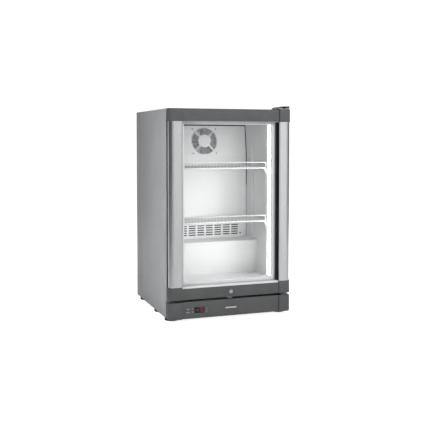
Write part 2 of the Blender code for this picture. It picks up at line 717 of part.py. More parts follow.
def control_panel():
    face = FRONT + CAP_RECESS
    inside = face + PANEL_WALL
    x0, x1, z0, z1 = window_opening()
    add_object("display_window", block(x0, x1, face - CLEARANCE, inside, z0, z1), "black_plastic")
    housing_front = inside + BUTTON_TRAVEL + CLEARANCE
    margin = 0.004
    outer_left = LEFT + BUTTON_COLUMNS["left"] - BUTTON_WIDTH - 2 * margin
    outer_right = LEFT + BUTTON_COLUMNS["right"] + BUTTON_WIDTH + 2 * margin
    housing = block(outer_left, outer_right, housing_front, housing_front + 0.020, z0 - margin, z1 + margin)
    box = add_object("controller_housing", housing, "black_plastic")
    rim = 0.002
    outer = (outer_left, outer_right, z0 - margin, z1 + margin)
    inner = (outer_left + rim, outer_right - rim, z0 - margin + rim, z1 + margin - rim)
    combine(box, ring(outer, inner, "Y", inside + CLEARANCE, housing_front + rim), "UNION")
    for name, x, z in button_places():
        half_width = BUTTON_WIDTH / 2
        half_height = BUTTON_HEIGHT / 2
        length = BUTTON_PROUD + PANEL_WALL
        shape = block(-half_width, half_width, 0.0, length, -half_height, half_height)
        button = add_object(name, shape, "grey_plastic")
        button.location = (x, face - BUTTON_PROUD, z)
    z = BOTTOM + PLINTH_HEIGHT / 2
    outline = rounded_rectangle(-BADGE_WIDTH / 2, BADGE_WIDTH / 2, z - BADGE_HEIGHT / 2, z + BADGE_HEIGHT / 2, 0.002)
    add_object("badge_bar", extrusion(outline, "Y", face - CLEARANCE - 0.0012, face - CLEARANCE), "aluminium")


def feet():
    rows = {
        "front": FRONT + FRONT_FOOT,
        "middle": FRONT + MIDDLE_FOOT,
        "rear": CABINET_REAR - REAR_FOOT_TO_REAR,
    }
    for row, y in rows.items():
        for side, x in (("left", LEFT + FOOT_INSET), ("right", RIGHT - FOOT_INSET)):
            pad = 0.006
            shape = cylinder((x, y, 0.0), "Z", FOOT_RADIUS, pad, 20)
            foot = add_object(f"foot_{row}_{side}", shape, "rubber", smooth=True)
            stem = cylinder((x, y, pad / 2), "Z", 0.006, BOTTOM - CLEARANCE - pad / 2, 12)
            combine(foot, stem, "UNION")


# ---- machine compartment ----


def compressor():
    """A welded pot with a seam flange, a foot plate and the terminal box on its side."""
    x = COMPRESSOR_OFFSET
    y = CABINET_REAR - COMPRESSOR_TO_REAR
    low = DECK + COMPRESSOR_LIFT
    half_length = COMPRESSOR_LENGTH / 2
    half_width = COMPRESSOR_WIDTH / 2
    round_plan = rounded_rectangle(x - half_length, x + half_length, y - half_width, y + half_width, 0.048, 5)
    pot = extrusion(round_plan, "Z", low, low + COMPRESSOR_HEIGHT)
    rims = [edge for edge in pot.edges if abs(edge.verts[0].co.z - edge.verts[1].co.z) < 1e-6]
    bmesh.ops.bevel(pot, geom=rims, offset=0.022, segments=3, profile=0.5, affect="EDGES", material=-1)
    body = add_object("compressor", pot, "black_enamel", smooth=True)
    middle = low + COMPRESSOR_HEIGHT * 0.55
    flange = rounded_rectangle(
        x - half_length - 0.004, x + half_length + 0.004, y - half_width - 0.004, y + half_width + 0.004, 0.05, 5
    )
    combine(body, extrusion(flange, "Z", middle, middle + 0.004), "UNION")
    plate = block(x - half_length, x + half_length, y - 0.050, y + 0.050, DECK + CLEARANCE, low + 0.026)
    combine(body, plate, "UNION")
    terminal = block(x - half_length - 0.028, x - half_length + 0.010, y - 0.030, y + 0.030, low + 0.030, low + 0.090)
    combine(body, terminal, "UNION")


def drain_pan():
    """The tray over the compressor in which meltwater dries off."""
    x = COMPRESSOR_OFFSET
    y = CABINET_REAR - COMPRESSOR_TO_REAR
    low = DECK + COMPRESSOR_LIFT + COMPRESSOR_HEIGHT + CLEARANCE
    high = low + 0.028
    half_length = COMPRESSOR_LENGTH / 2 + 0.015
    half_width = COMPRESSOR_WIDTH / 2 + 0.010
    wall = 0.002
    shape = block(x - half_length, x + half_length, y - half_width, y + half_width, low, high)
    pan = add_object("drain_pan", shape, "grey_plastic")
    inner_length = half_length - wall
    inner_width = half_width - wall
    hollow = block(x - inner_length, x + inner_length, y - inner_width, y + inner_width, low + wall, high + wall)
    combine(pan, hollow, "DIFFERENCE")


def condenser():
    """Tube runs tied by upright wires, on the rear of the cabinet."""
    y = CABINET_REAR + CONDENSER_GAP
    low = TOP - 0.070 - CONDENSER_HEIGHT
    half = WIDTH / 2 - CONDENSER_MARGIN
    tubes = even_bars(low, low + CONDENSER_HEIGHT, 9, 0.005)
    wires = even_bars(-half, half, 9, 0.002)
    grid = add_object("condenser", lattice(wires, tubes, "Y", y, y + CONDENSER_DEPTH), "black_enamel")
    face = CABINET_REAR + CLEARANCE
    pad = 0.012
    middle = y + CONDENSER_DEPTH / 2
    corners = [(x, z) for x in (-half, half - pad) for z in (low, low + CONDENSER_HEIGHT - pad)]
    combine(grid, blocks([(x, x + pad, face, middle, z, z + pad) for x, z in corners]), "UNION")


def pipe(name, points):
    """A round tube on a smooth line through the points."""
    curve = bpy.data.curves.new(name, "CURVE")
    curve.dimensions = "3D"
    curve.bevel_depth = PIPE_RADIUS
    curve.bevel_resolution = 2
    curve.use_fill_caps = True
    steps = 4
    route = [Vector(point) for point in points]
    padded = [2 * route[0] - route[1], *route, 2 * route[-1] - route[-2]]
    line = []
    for i in range(1, len(padded) - 2):
        p0, p1, p2, p3 = padded[i - 1 : i + 3]
        for step in range(steps):
            t = step / steps
            line.append(
                0.5 * (2 * p1 + (p2 - p0) * t + (2 * p0 - 5 * p1 + 4 * p2 - p3) * t**2
                       + (3 * p1 - p0 - 3 * p2 + p3) * t**3)
            )
    line.append(route[-1])
    spline = curve.splines.new("POLY")
    spline.points.add(len(line) - 1)
    for point, place in zip(spline.points, line):
        point.co = (*place, 1.0)
    obj = bpy.data.objects.new(name, curve)
    bpy.context.scene.collection.objects.link(obj)
    curve.materials.append(add_material(name, "copper"))


def refrigerant_circuit():
    """The pipes between the compressor and the cold side, up to where they enter the foam."""
    x = COMPRESSOR_OFFSET
    y = CABINET_REAR - COMPRESSOR_TO_REAR
    side = x - COMPRESSOR_LENGTH / 2 - 0.050
    ceiling = STEP_CEILING - CLEARANCE
    height = DECK + 0.050
    rear = CABINET_REAR - 0.014
    face = y + COMPRESSOR_WIDTH / 2 + CLEARANCE
    stub = 0.005
    pipe(
        "discharge_pipe",
        [
            (x, face, height),
            (x, face + 2 * stub, height),
            (x, face + 4 * stub, height),
            (x - 2 * stub, rear, height + stub),
            (side, rear, height + 0.012),
            (side - 0.012, rear, height + 0.026),
            (side - 0.014, rear, height + 0.050),
            (side - 0.014, rear, ceiling - 10 * stub),
            (side - 0.014, rear, ceiling),
        ],
    )
    face = y - COMPRESSOR_WIDTH / 2 - CLEARANCE
    front = face - 0.020
    pipe(
        "suction_pipe",
        [
            (x, face, height),
            (x, face - stub, height),
            (x, face - 2 * stub, height),
            (x - 0.012, front, height + 0.004),
            (side, front, height + 0.020),
            (side - 0.012, front, height + 0.034),
            (side - 0.014, front, height + 0.060),
            (side - 0.014, front, ceiling - 8 * stub),
            (side - 0.014, front, ceiling),
        ],
    )


def power_inlet():
    """The appliance inlet in the rear grille's lower left corner."""
    x = LEFT + 0.075
    z = DECK + 0.030
    y = CABINET_REAR + CLEARANCE
    shape = block(x - 0.016, x + 0.016, y, y + 0.006, z - 0.012, z + 0.012)
    inlet = add_object("power_inlet", shape, "black_plastic")
    outline = rounded_rectangle(x - 0.012, x + 0.012, z - 0.008, z + 0.008, 0.003, 2)
    combine(inlet, extrusion(outline, "Y", y + 0.0015, y + 0.010), "DIFFERENCE")


def wall_spacers():
    """Stand-offs that keep the rear clear of the wall."""
    high = TOP - 0.020
    for side, x in (("left", LEFT + 0.045), ("right", RIGHT - 0.045)):
        x0 = x - SPACER_WIDTH / 2
        rear = DEPTH / 2
        shape = block(x0, x0 + SPACER_WIDTH, CABINET_REAR + CLEARANCE, rear, high - SPACER_HEIGHT, high)
        add_object(f"wall_spacer_{side}", shape, "black_plastic")


# ---- hinges ----


def top_hinge():
    """A plate on the cabinet's top with its pin down into the door, under a plastic cover."""
    z = TOP + CLEARANCE
    plate_top = z + 0.003
    x0 = RIGHT - 0.047
    x1 = RIGHT - 0.004
    y0 = FRONT + 0.004
    y1 = CABINET_FRONT + 0.040
    plate = add_object("top_hinge_bracket", block(x0, x1, y0, y1, z, plate_top), "zinc_steel")
    low = TOP - PIN_REACH
    combine(plate, cylinder((HINGE_X, HINGE_Y, low), "Z", PIN_RADIUS, plate_top - low, 20), "UNION")
    slope = 0.010
    outline = [
        (x0, plate_top + CLEARANCE),
        (x1, plate_top + CLEARANCE),
        (x1, HEIGHT - 0.003),
        (x1 - 0.003, HEIGHT),
        (x0 + slope + 0.004, HEIGHT),
        (x0 + slope, HEIGHT - 0.002),
        (x0, plate_top + CLEARANCE + 0.003),
    ]
    add_object("top_hinge_cover", extrusion(outline, "Y", y0, y1), "black_plastic")


def bottom_hinge():
    """An angle bracket on the cabinet's face with its pin up into the door."""
    z = PLINTH_TOP + CLEARANCE
    plate_top = z + 0.003
    x0 = RIGHT - 0.035
    x1 = RIGHT - 0.005
    flange = 0.0024
    rear = CABINET_FRONT - CLEARANCE
    outline = [
        (FRONT + 0.008, z),
        (rear, z),
        (rear, z + 0.030),
        (rear - flange, z + 0.030),
        (rear - flange, plate_top),
        (FRONT + 0.008, plate_top),
    ]
    bracket = add_object("bottom_hinge_bracket", extrusion(outline, "X", x0, x1), "zinc_steel")
    length = DOOR_BOTTOM + PIN_REACH - z - 0.001
    combine(bracket, cylinder((HINGE_X, HINGE_Y, z + 0.001), "Z", PIN_RADIUS, length, 20), "UNION")


# ---- door ----


def pin_hole(low, high):
    return cylinder((HINGE_X, HINGE_Y, low), "Z", PIN_RADIUS + PIN_CLEARANCE, high - low, 20)


def door_caps(door_axis):
    """The moulded rails at the top and bottom of the door; each turns on a hinge pin."""
    rear = FRONT + DOOR_THICKNESS
    outline = front_outline(rear)
    margin = PROFILE_INSET + PROFILE_WIDTH + 0.010
    wall = 0.005
    pocket_front = FRONT + CAP_RECESS + wall
    deep = PIN_REACH + 0.001

    top_cap = add_object("door_top_cap", extrusion(outline, "Z", GLASS_TOP, TOP), "dark_plastic", door_axis)
    pocket = block(LEFT + margin, RIGHT - margin, pocket_front, rear + wall, GLASS_TOP + wall, TOP - wall)
    combine(top_cap, pocket, "DIFFERENCE")
    combine(top_cap, pin_hole(TOP - deep, TOP + wall), "DIFFERENCE")

    outline_z = (DOOR_BOTTOM, GLASS_BOTTOM)
    bottom_cap = add_object("door_bottom_cap", extrusion(outline, "Z", *outline_z), "dark_plastic", door_axis)
    pocket = block(LEFT + margin, RIGHT - margin, pocket_front, rear + wall, DOOR_BOTTOM + wall, GLASS_BOTTOM - wall)
    combine(bottom_cap, pocket, "DIFFERENCE")
    combine(bottom_cap, pin_hole(DOOR_BOTTOM - wall, DOOR_BOTTOM + deep), "DIFFERENCE")
    keyway = cylinder((0.0, FRONT, LOCK_Z), "Y", LOCK_RADIUS + CLEARANCE, 2 * pocket_front - 2 * FRONT, 20)
    combine(bottom_cap, keyway, "DIFFERENCE")
    half = BOLT_WIDTH / 2 + CLEARANCE
    y = FRONT + BOLT_SETBACK
    low = DOOR_BOTTOM - wall
    slot = block(-half, half, y - CLEARANCE, y + BOLT_DEPTH + CLEARANCE, low, DOOR_BOTTOM + 2 * wall)
    combine(bottom_cap, slot, "DIFFERENCE")


def door_profiles(door_axis):
    """Aluminium uprights: hollow, with a rounded outer corner, open at their ends."""
    low = GLASS_BOTTOM + CLEARANCE
    high = GLASS_TOP - CLEARANCE
    rear = FRONT + PROFILE_DEPTH
    radius = CORNER_RADIUS - PROFILE_INSET
    wall = PROFILE_WALL
    for name, side in (("door_left_profile", -1), ("door_right_profile", 1)):
        outer = side * (WIDTH / 2 - PROFILE_INSET)
        inner = side * (WIDTH / 2 - PROFILE_INSET - PROFILE_WIDTH)
        corner = arc(outer - side * radius, FRONT + radius, radius, 0 if side > 0 else 180, -90 if side > 0 else 270, 5)
        outline = [(outer, rear), *corner, (inner, FRONT), (inner, rear)]
        profile = add_object(name, extrusion(outline, "Z", low, high), "aluminium", door_axis)
        x0, x1 = sorted((outer - side * radius, inner + side * wall))
        combine(profile, block(x0, x1, FRONT + wall, rear - wall, low - wall, high + wall), "DIFFERENCE")


def door_glazing(door_axis):
    """Two panes on a light frame, between two dark uprights that carry the seal."""
    low = GLASS_BOTTOM + CLEARANCE
    high = GLASS_TOP - CLEARANCE
    front = FRONT + PROFILE_DEPTH + CLEARANCE
    rear = FRONT + DOOR_THICKNESS
    border = 0.030
    edge = PROFILE_INSET + 0.003
    pane_left = LEFT + border
    pane_right = RIGHT - border
    pane_rear = front + GLASS
    pane = block(pane_left, pane_right, front, pane_rear, low, high)
    add_object("outer_glass", pane, "glass", door_axis)

    for name, x0, x1 in (
        ("door_left_stile", LEFT + edge, pane_left - CLEARANCE),
        ("door_right_stile", pane_right + CLEARANCE, RIGHT - edge),
    ):
        add_object(name, block(x0, x1, front, rear, low, high), "black_plastic", door_axis)

    sight = PROFILE_INSET + PROFILE_WIDTH + GLASS_SILL
    sight_low = low + 0.0135
    sight_high = high - 0.0115
    unit_front = pane_rear + CLEARANCE
    unit = ring(
        (pane_left, pane_right, low, high),
        (LEFT + sight, RIGHT - sight, sight_low, sight_high),
        "Y",
        unit_front,
        rear,
    )
    frame = add_object("glass_unit_frame", unit, "white_plastic", door_axis)
    plug = SIDE_WALL + 0.003
    unit_rear = unit_front + UNIT_DEPTH
    inner = 0.0025
    lip = ring(
        (LEFT + plug, RIGHT - plug, low + 0.004, high - 0.006),
        (LEFT + sight - inner, RIGHT - sight + inner, sight_low - inner, sight_high + inner),
        "Y",
        rear - 0.002,
        unit_rear,
    )
    combine(frame, lip, "UNION")
    clear = inner - CLEARANCE
    pane = block(
        LEFT + sight - clear,
        RIGHT - sight + clear,
        rear + CLEARANCE,
        rear + CLEARANCE + GLASS * 0.8,
        sight_low - clear,
        sight_high + clear,
    )
    add_object("inner_glass", pane, "glass", door_axis)


def door_gasket(door_axis):
    """The soft magnetic seal on the door's rear face, just clear of the collar."""
    lap = 0.001
    inner = (INNER_LEFT - lap, INNER_RIGHT + lap, INNER_FLOOR - lap, INNER_TOP + lap)
    outer = (inner[0] - GASKET_WIDTH, inner[1] + GASKET_WIDTH, inner[2] - GASKET_WIDTH, inner[3] + GASKET_WIDTH)
    front = FRONT + DOOR_THICKNESS + CLEARANCE
    add_object("door_gasket", ring(outer, inner, "Y", front, CABINET_FRONT - CLEARANCE), "rubber", door_axis)


def door_lock(door_axis):
    """A key cylinder whose cam drives a bolt down into the strike on the plinth."""
    lock_axis = add_axis("lock_axis", (0.0, FRONT, LOCK_Z))
    lock_axis.parent = door_axis
    lock_axis.matrix_parent_inverse = door_axis.matrix_basis.inverted()
    face = FRONT + LOCK_FACE_SETBACK
    barrel = cylinder((0.0, face - FRONT, 0.0), "Y", LOCK_RADIUS, LOCK_LENGTH, 20)
    cylinder_piece = add_object("lock_cylinder", barrel, "chrome", smooth=True)
    cylinder_piece.parent = lock_axis
    rear = face - FRONT + LOCK_LENGTH
    combine(cylinder_piece, block(-0.004, 0.004, rear - 0.002, rear + 0.002, -0.004, 0.011), "UNION", lock_axis)
    key_slot = block(-0.0007, 0.0007, -0.002, face - FRONT + 0.003, -0.004, 0.004)
    combine(cylinder_piece, key_slot, "DIFFERENCE", lock_axis)
    half = BOLT_WIDTH / 2
    y = FRONT + BOLT_SETBACK
    low = DOOR_BOTTOM + CLEARANCE
    add_object("lock_bolt", block(-half, half, y, y + BOLT_DEPTH, low, LOCK_Z + 0.006), "zinc_steel", door_axis)


def lock_strike():
    """A slotted block on the plinth's top that takes the lock bolt."""
    margin = 0.003
    half = BOLT_WIDTH / 2 + 2 * CLEARANCE
    y0 = FRONT + BOLT_SETBACK - 2 * CLEARANCE
    y1 = FRONT + BOLT_SETBACK + BOLT_DEPTH + 2 * CLEARANCE
    low = PLINTH_TOP + CLEARANCE
    outer = (-half - 2 * margin, half + 2 * margin, y0 - margin, y1 + margin)
    shape = ring(outer, (-half, half, y0, y1), "Z", low, low + STRIKE_HEIGHT)
    add_object("lock_strike", shape, "zinc_steel")


def main():
    clear_scene()
    cabinet_panels()
    insulation_foam()
    inner_liner()
    front_collar()
    compartment_grille()
    fan_axis = add_axis("fan_axis", fan_mouth(), math.pi / 2 - LEAN_ANGLE)
    evaporator_cover(fan_axis)
    evaporator_coil()
    fan_guard(fan_axis)
    fan_housing(fan_axis)
    fan_impeller(fan_axis)
    shelf_rails()
    for name, slot in SHELF_SLOTS.items():
        shelf(name, slot)
    lamp()
    plinth_panel()
    control_panel()
    feet()
    compressor()
    drain_pan()
    condenser()
    refrigerant_circuit()
    power_inlet()
    wall_spacers()
    top_hinge()
    bottom_hinge()
    door_axis = add_axis("door_axis", (HINGE_X, HINGE_Y, 0.0))
    door_caps(door_axis)
    door_profiles(door_axis)
    door_glazing(door_axis)
    door_gasket(door_axis)
    door_lock(door_axis)
    lock_strike()


main()
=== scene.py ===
"""Looks of an under-counter glass-door display fridge, built around its fixed frame.

Metres, +Z up, the door faces -Y. Every finished piece sits at the origin with its place in its mesh.
"""

import math

import bmesh
import bpy
from mathutils import Matrix, Vector


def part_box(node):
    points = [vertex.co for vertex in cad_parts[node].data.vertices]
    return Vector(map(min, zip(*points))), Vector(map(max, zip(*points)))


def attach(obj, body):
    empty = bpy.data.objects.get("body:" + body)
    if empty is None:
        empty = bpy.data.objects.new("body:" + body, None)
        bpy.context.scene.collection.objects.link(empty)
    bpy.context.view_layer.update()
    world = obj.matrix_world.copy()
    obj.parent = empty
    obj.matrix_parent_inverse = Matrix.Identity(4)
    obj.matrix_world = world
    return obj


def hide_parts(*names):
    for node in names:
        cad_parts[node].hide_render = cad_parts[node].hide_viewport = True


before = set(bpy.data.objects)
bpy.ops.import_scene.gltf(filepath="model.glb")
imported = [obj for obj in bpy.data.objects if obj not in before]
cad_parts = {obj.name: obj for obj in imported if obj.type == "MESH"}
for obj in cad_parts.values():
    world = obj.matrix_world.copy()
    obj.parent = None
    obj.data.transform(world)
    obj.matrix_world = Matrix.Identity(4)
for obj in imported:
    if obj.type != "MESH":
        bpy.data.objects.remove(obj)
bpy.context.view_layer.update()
ORIGIN = Vector((0.0, 0.0, 0.0))
AXES = {"X": Vector((1, 0, 0)), "Y": Vector((0, 1, 0)), "Z": Vector((0, 0, 1)), "-Y": Vector((0, -1, 0))}
FORWARDS = Matrix.Rotation(math.pi / 2, 4, "X")  # turns Z to face the front
TOUCH = 1e-5  # points closer than this are the same place

# ---- places that the pieces share, read from the frame ----


def limits(node):
    """Lowest and highest X, Y and Z of a node: x0, x1, y0, y1, z0, z1."""
    low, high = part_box(node)
    return low[0], high[0], low[1], high[1], low[2], high[2]


CAP_LEFT, CAP_RIGHT, CAP_FRONT, _, CAP_LOW, _ = limits("door_top_cap")
RECESS = 0.006  # how far the caps' middle is set back
BLOCK_END = 0.051  # width of the block at each end of a cap
CORNER = 0.013  # the caps' round front corners
UPRIGHT_CORNER = 0.0125
LINING = 0.0040  # the dark lining beside the right upright
BEAD = 0.0062  # height of the lower ledge's bead
SHELF_DROP = 0.0035  # a shelf's hooks let it hang this far below its node
RUNG_PITCH = 0.012
FOOT_RADIUS = 0.0275
COVER_LEAN, COVER_LEAN_HEIGHT = 0.017, 0.127  # the evaporator cover's top leans back this far over this height
SCREW_INSET = 0.0525  # half the distance between the fan's screws

# ---- materials ----


def colour(code):
    """An sRGB hex colour as linear values with full alpha."""
    values = [int(code[i : i + 2], 16) / 255 for i in (0, 2, 4)]
    return (*((v / 12.92 if v <= 0.04045 else ((v + 0.055) / 1.055) ** 2.4) for v in values), 1.0)


def add_node(material, kind, inputs=None, **settings):
    """Adds a node; each input is a value or another node's output."""
    made = material.node_tree.nodes.new(kind)
    for name, value in settings.items():
        setattr(made, name, value)
    for name, value in (inputs or {}).items():
        socket = made.inputs[name]
        if isinstance(value, bpy.types.NodeSocket):
            material.node_tree.links.new(value, socket)
        else:
            socket.default_value = value
    return made


def new_material(name, base, roughness, metallic=0.0, **extra):
    """A material with one Principled shader; extra names its sockets with _ for a space."""
    material = bpy.data.materials.new(name)
    material.use_nodes = True
    shader = material.node_tree.nodes["Principled BSDF"]
    shader.inputs["Base Color"].default_value = colour(base)
    shader.inputs["Roughness"].default_value = roughness
    shader.inputs["Metallic"].default_value = metallic
    for socket, value in extra.items():
        shader.inputs[socket.replace("_", " ")].default_value = value
    material.diffuse_color = colour(base)
    return material


def shader_of(material):
    return material.node_tree.nodes["Principled BSDF"]


def link(material, output, socket):
    material.node_tree.links.new(output, shader_of(material).inputs[socket])


def finish(material, size=None, detail=2.0, stretch=(1.0, 1.0, 1.0), pattern=None,
           tints=None, reach=(0.35, 0.65), gloss=None, relief=None):
    """Varies a finish in patches about size metres across, or as a given pattern does.

    tints are two hex colours, met at the two values in reach. gloss is the lowest and highest roughness, and
    relief is the strength and the depth of the bumps.
    """
    if pattern is None:
        place = add_node(material, "ShaderNodeTexCoord").outputs["Object"]
        place = add_node(material, "ShaderNodeMapping", {"Vector": place, "Scale": stretch}).outputs["Vector"]
        inputs = {"Vector": place, "Scale": 1.0 / size, "Detail": detail, "Roughness": 0.55}
        pattern = add_node(material, "ShaderNodeTexNoise", inputs).outputs["Fac"]
    if tints:
        ramp = add_node(material, "ShaderNodeValToRGB", {"Fac": pattern})
        for stop, position, tint in zip(ramp.color_ramp.elements, reach, tints):
            stop.position, stop.color = position, colour(tint)
        link(material, ramp.outputs["Color"], "Base Color")
    if gloss:
        inputs = {"Value": pattern, "From Min": 0.3, "From Max": 0.7, "To Min": gloss[0], "To Max": gloss[1]}
        link(material, add_node(material, "ShaderNodeMapRange", inputs).outputs["Result"], "Roughness")
    if relief:
        inputs = {"Height": pattern, "Strength": relief[0], "Distance": relief[1]}
        link(material, add_node(material, "ShaderNodeBump", inputs).outputs["Normal"], "Normal")


def light_up(material, tint, strength):
    shader_of(material).inputs["Emission Color"].default_value = colour(tint)
    shader_of(material).inputs["Emission Strength"].default_value = strength


def moulded_abs(name, base, roughness):
    # Injection-moulded ABS, with a spark-eroded grain of about 0.9 mm that softens its shine.
    material = new_material(name, base, roughness, IOR=1.53)
    finish(material, 0.0009, gloss=(roughness - 0.05, roughness + 0.06), relief=(0.2, 0.00012))
    return material


def extruded_pvc(name, base):
    # Extruded PVC of the glass unit's frame and ledges: faint die lines along each length.
    material = new_material(name, base, 0.4, IOR=1.54)
    finish(material, 0.012, 3.0, gloss=(0.35, 0.46))
    finish(material, 0.0015, 1.0, relief=(0.06, 0.0002))
    return material


def moulded_rubber(name, base):
    # Moulded rubber, matt with a faint bloom.
    material = new_material(name, base, 0.7, IOR=1.52)
    finish(material, 0.006, 3.0, gloss=(0.62, 0.78))
    finish(material, 0.0012, relief=(0.15, 0.0002))
    return material


# Steel sheet with a silver powder coat: a fine orange peel of about 1.5 mm and a soft metal sheen.
POWDER = new_material("silver_powder_coat", "a9abad", 0.42, 0.2)
finish(POWDER, 0.12, 3.0, tints=("a6a8aa", "adafb1"))
finish(POWDER, 0.03, 4.0, gloss=(0.38, 0.48))
finish(POWDER, 0.0015, relief=(0.12, 0.0003))

# Hot-dip galvanised sheet: flat spangles of about 9 mm, each with its own grey and gloss.
ZINC = new_material("galvanised_steel", "a4a8aa", 0.42, 0.9)
sheet = add_node(ZINC, "ShaderNodeTexCoord").outputs["Object"]
spangles = add_node(ZINC, "ShaderNodeTexVoronoi", {"Vector": sheet, "Scale": 110.0}).outputs["Color"]
grey = add_node(ZINC, "ShaderNodeSeparateColor", {"Color": spangles}).outputs["Red"]
finish(ZINC, pattern=grey, tints=("93989b", "b4b8ba"), reach=(0.1, 0.9), gloss=(0.34, 0.5))
finish(ZINC, 0.004, 3.0, relief=(0.08, 0.0002))

# Injection-moulded ABS in anthracite, with a spark-eroded grain of about 0.8 mm that breaks up the gloss.
ANTHRACITE = new_material("moulded_anthracite_abs", "4a4b4c", 0.46, IOR=1.53)
finish(ANTHRACITE, 0.05, 3.0, tints=("474849", "4d4e4f"))
finish(ANTHRACITE, 0.0008, gloss=(0.42, 0.52), relief=(0.25, 0.00015))

BLACK = moulded_abs("moulded_black_abs", "121213", 0.42)
# The same black also paints the shade behind the evaporator cover's slots.
GRIP = moulded_abs("black_lining_and_slot_shade", "0b0b0c", 0.6)
GUARD = moulded_abs("moulded_mid_grey_abs", "d0d2d4", 0.45)
HUB = moulded_abs("moulded_pale_grey_abs", "ecedee", 0.45)
# A grey wire colour that paints the shaded band along each shelf's front guard.
FENCE_SHADE = moulded_abs("grey_wire_painted_shade", "8a8c8e", 0.4)

# Vacuum-formed white high-impact polystyrene: slightly wavy from the forming, with a soft gloss.
LINER = new_material("formed_white_polystyrene", "e6e7e7", 0.36, IOR=1.59)
finish(LINER, 0.15, tints=("e3e4e4", "e9eaea"))
finish(LINER, 0.02, 3.0, gloss=(0.32, 0.42))
finish(LINER, 0.035, 1.0, relief=(0.05, 0.0008))

# Thin steel sheet with a stoved white paint: smooth, a little orange peel.
ENAMEL = new_material("white_stoved_sheet", "f0f1f1", 0.34, IOR=1.5)
finish(ENAMEL, 0.1, tints=("eeefef", "f2f3f3"))
finish(ENAMEL, 0.0018, relief=(0.07, 0.0002))

PVC = extruded_pvc("extruded_light_pvc", "dfe1e2")
# This light PVC also paints the highlight along the rear edge of each door upright.
LEDGE_AND_EDGE_HIGHLIGHT = extruded_pvc("white_pvc_and_edge_highlight", "cfd1d2")

# Moulded grey polypropylene, slightly waxy.
# The same grey also paints the shadow down the lower right edge of the evaporator cover.
GREY = new_material("grey_polypropylene_and_edge_shadow", "a8aaab", 0.48, IOR=1.49)
finish(GREY, 0.004, 3.0, gloss=(0.42, 0.54))
finish(GREY, 0.0012, relief=(0.1, 0.00015))

# Extruded aluminium, brushed along its length and satin anodised: lines 0.4 mm apart, drawn at 1.2 mm to show.
ALUMINIUM = new_material("satin_anodised_aluminium", "c2c3c4", 0.28, 1.0)
finish(ALUMINIUM, 0.0012, 3.0, (1.0, 1.0, 0.012), tints=("bcbebf", "c8c9ca"), reach=(0.3, 0.7),
       gloss=(0.24, 0.34), relief=(0.08, 0.0001))

# Thin rolled aluminium fins, bright with streaks.
FINS = new_material("rolled_aluminium", "c4c6c8", 0.35, 1.0)
finish(FINS, 0.003, 3.0, (1.0, 0.1, 1.0), gloss=(0.28, 0.45))

# Steel wire with a thick white polyethylene coat: soft gloss, slightly uneven at the welds.
WIRE = new_material("white_coated_wire", "eceded", 0.32, IOR=1.51)
finish(WIRE, 0.01, 3.0, gloss=(0.27, 0.4))
finish(WIRE, 0.003, relief=(0.1, 0.0003))

# Clear toughened float glass: mostly seen through, with a faint grey and a hard gloss.
GLASS = new_material("toughened_float_glass", "7d8584", 0.03, Alpha=0.04, IOR=1.52, Specular_IOR_Level=0.5)

# Polished smoked acrylic over the display, with the faint haze that wiping leaves.
SMOKED = new_material("smoked_acrylic", "050506", 0.12, IOR=1.49)
finish(SMOKED, 0.009, 3.0, tints=("040405", "08080a"), gloss=(0.09, 0.17))

# Opal polycarbonate, slightly clouded, lit from behind by a row of light-emitting diodes.
LAMP = new_material("lit_opal_polycarbonate", "ffffff", 0.35, IOR=1.58)
finish(LAMP, 0.02, 3.0, tints=("f7f9fa", "ffffff"), gloss=(0.30, 0.42))
light_up(LAMP, "ffffff", 5.5)

# A lit red segment behind the smoked window.
RED = new_material("lit_red_segment", "74161e", 0.4)
finish(RED, 0.002, tints=("6c141b", "7c1821"), gloss=(0.34, 0.46))
light_up(RED, "a01c28", 0.15)

# The same black rubber also paints the shadow in the gaps round the evaporator cover.
RUBBER = moulded_rubber("black_rubber_and_gap_shadow", "17181a")
# Dark seal rubber, its dark grey partly standing in as painted shadow for the gap between the door and the
# cabinet.
SEAL_AND_GAP_SHADOW = moulded_rubber("dark_seal_and_gap_shadow", "3a3b3c")

# Drawn copper tube, browned along its length.
COPPER = new_material("drawn_copper", "b87a5a", 0.32, 1.0)
finish(COPPER, 0.02, 4.0, tints=("9a5f45", "c88a68"), gloss=(0.25, 0.42))

# Polished chrome plate, with faint turning marks.
CHROME = new_material("bright_chrome", "b4b6b8", 0.18, 1.0)
finish(CHROME, 0.0015, gloss=(0.14, 0.26))

# Dipped black enamel on steel: glossy, slightly run.
BLACK_ENAMEL = new_material("dipped_black_enamel", "141516", 0.28, IOR=1.5)
finish(BLACK_ENAMEL, 0.012, 3.0, gloss=(0.22, 0.38))
finish(BLACK_ENAMEL, 0.006, relief=(0.1, 0.0004))

# Cut polyurethane foam, open at its cut cells.
FOAM = new_material("rigid_polyurethane_foam", "d9c79a", 0.9)
finish(FOAM, 0.002, 3.0, tints=("cdb985", "e0d0a6"), relief=(0.4, 0.0006))

# Pad-printed pale grey marks, slightly uneven in the ink.
PRINT = new_material("pad_printed_marks", "a0a2a4", 0.55)
finish(PRINT, 0.002, gloss=(0.48, 0.62))

# ---- shaping ----


def spread(start, length, count):
    """Evenly spaced places from start, the last of them length further on."""
    return [start + length * i / (count - 1) for i in range(count)]


def placed(name, data):
    """A new object in the scene."""
    made = bpy.data.objects.new(name, data)
    bpy.context.scene.collection.objects.link(made)
    return made


def points_among(parts):
    return [part for part in parts if isinstance(part, bmesh.types.BMVert)]


def add_box(shape, x0, x1, y0, y1, z0, z1):
    made = bmesh.ops.create_cube(shape, size=1.0)["verts"]
    bmesh.ops.scale(shape, verts=made, vec=(x1 - x0, y1 - y0, z1 - z0))
    bmesh.ops.translate(shape, verts=made, vec=((x0 + x1) / 2, (y0 + y1) / 2, (z0 + z1) / 2))
    return made


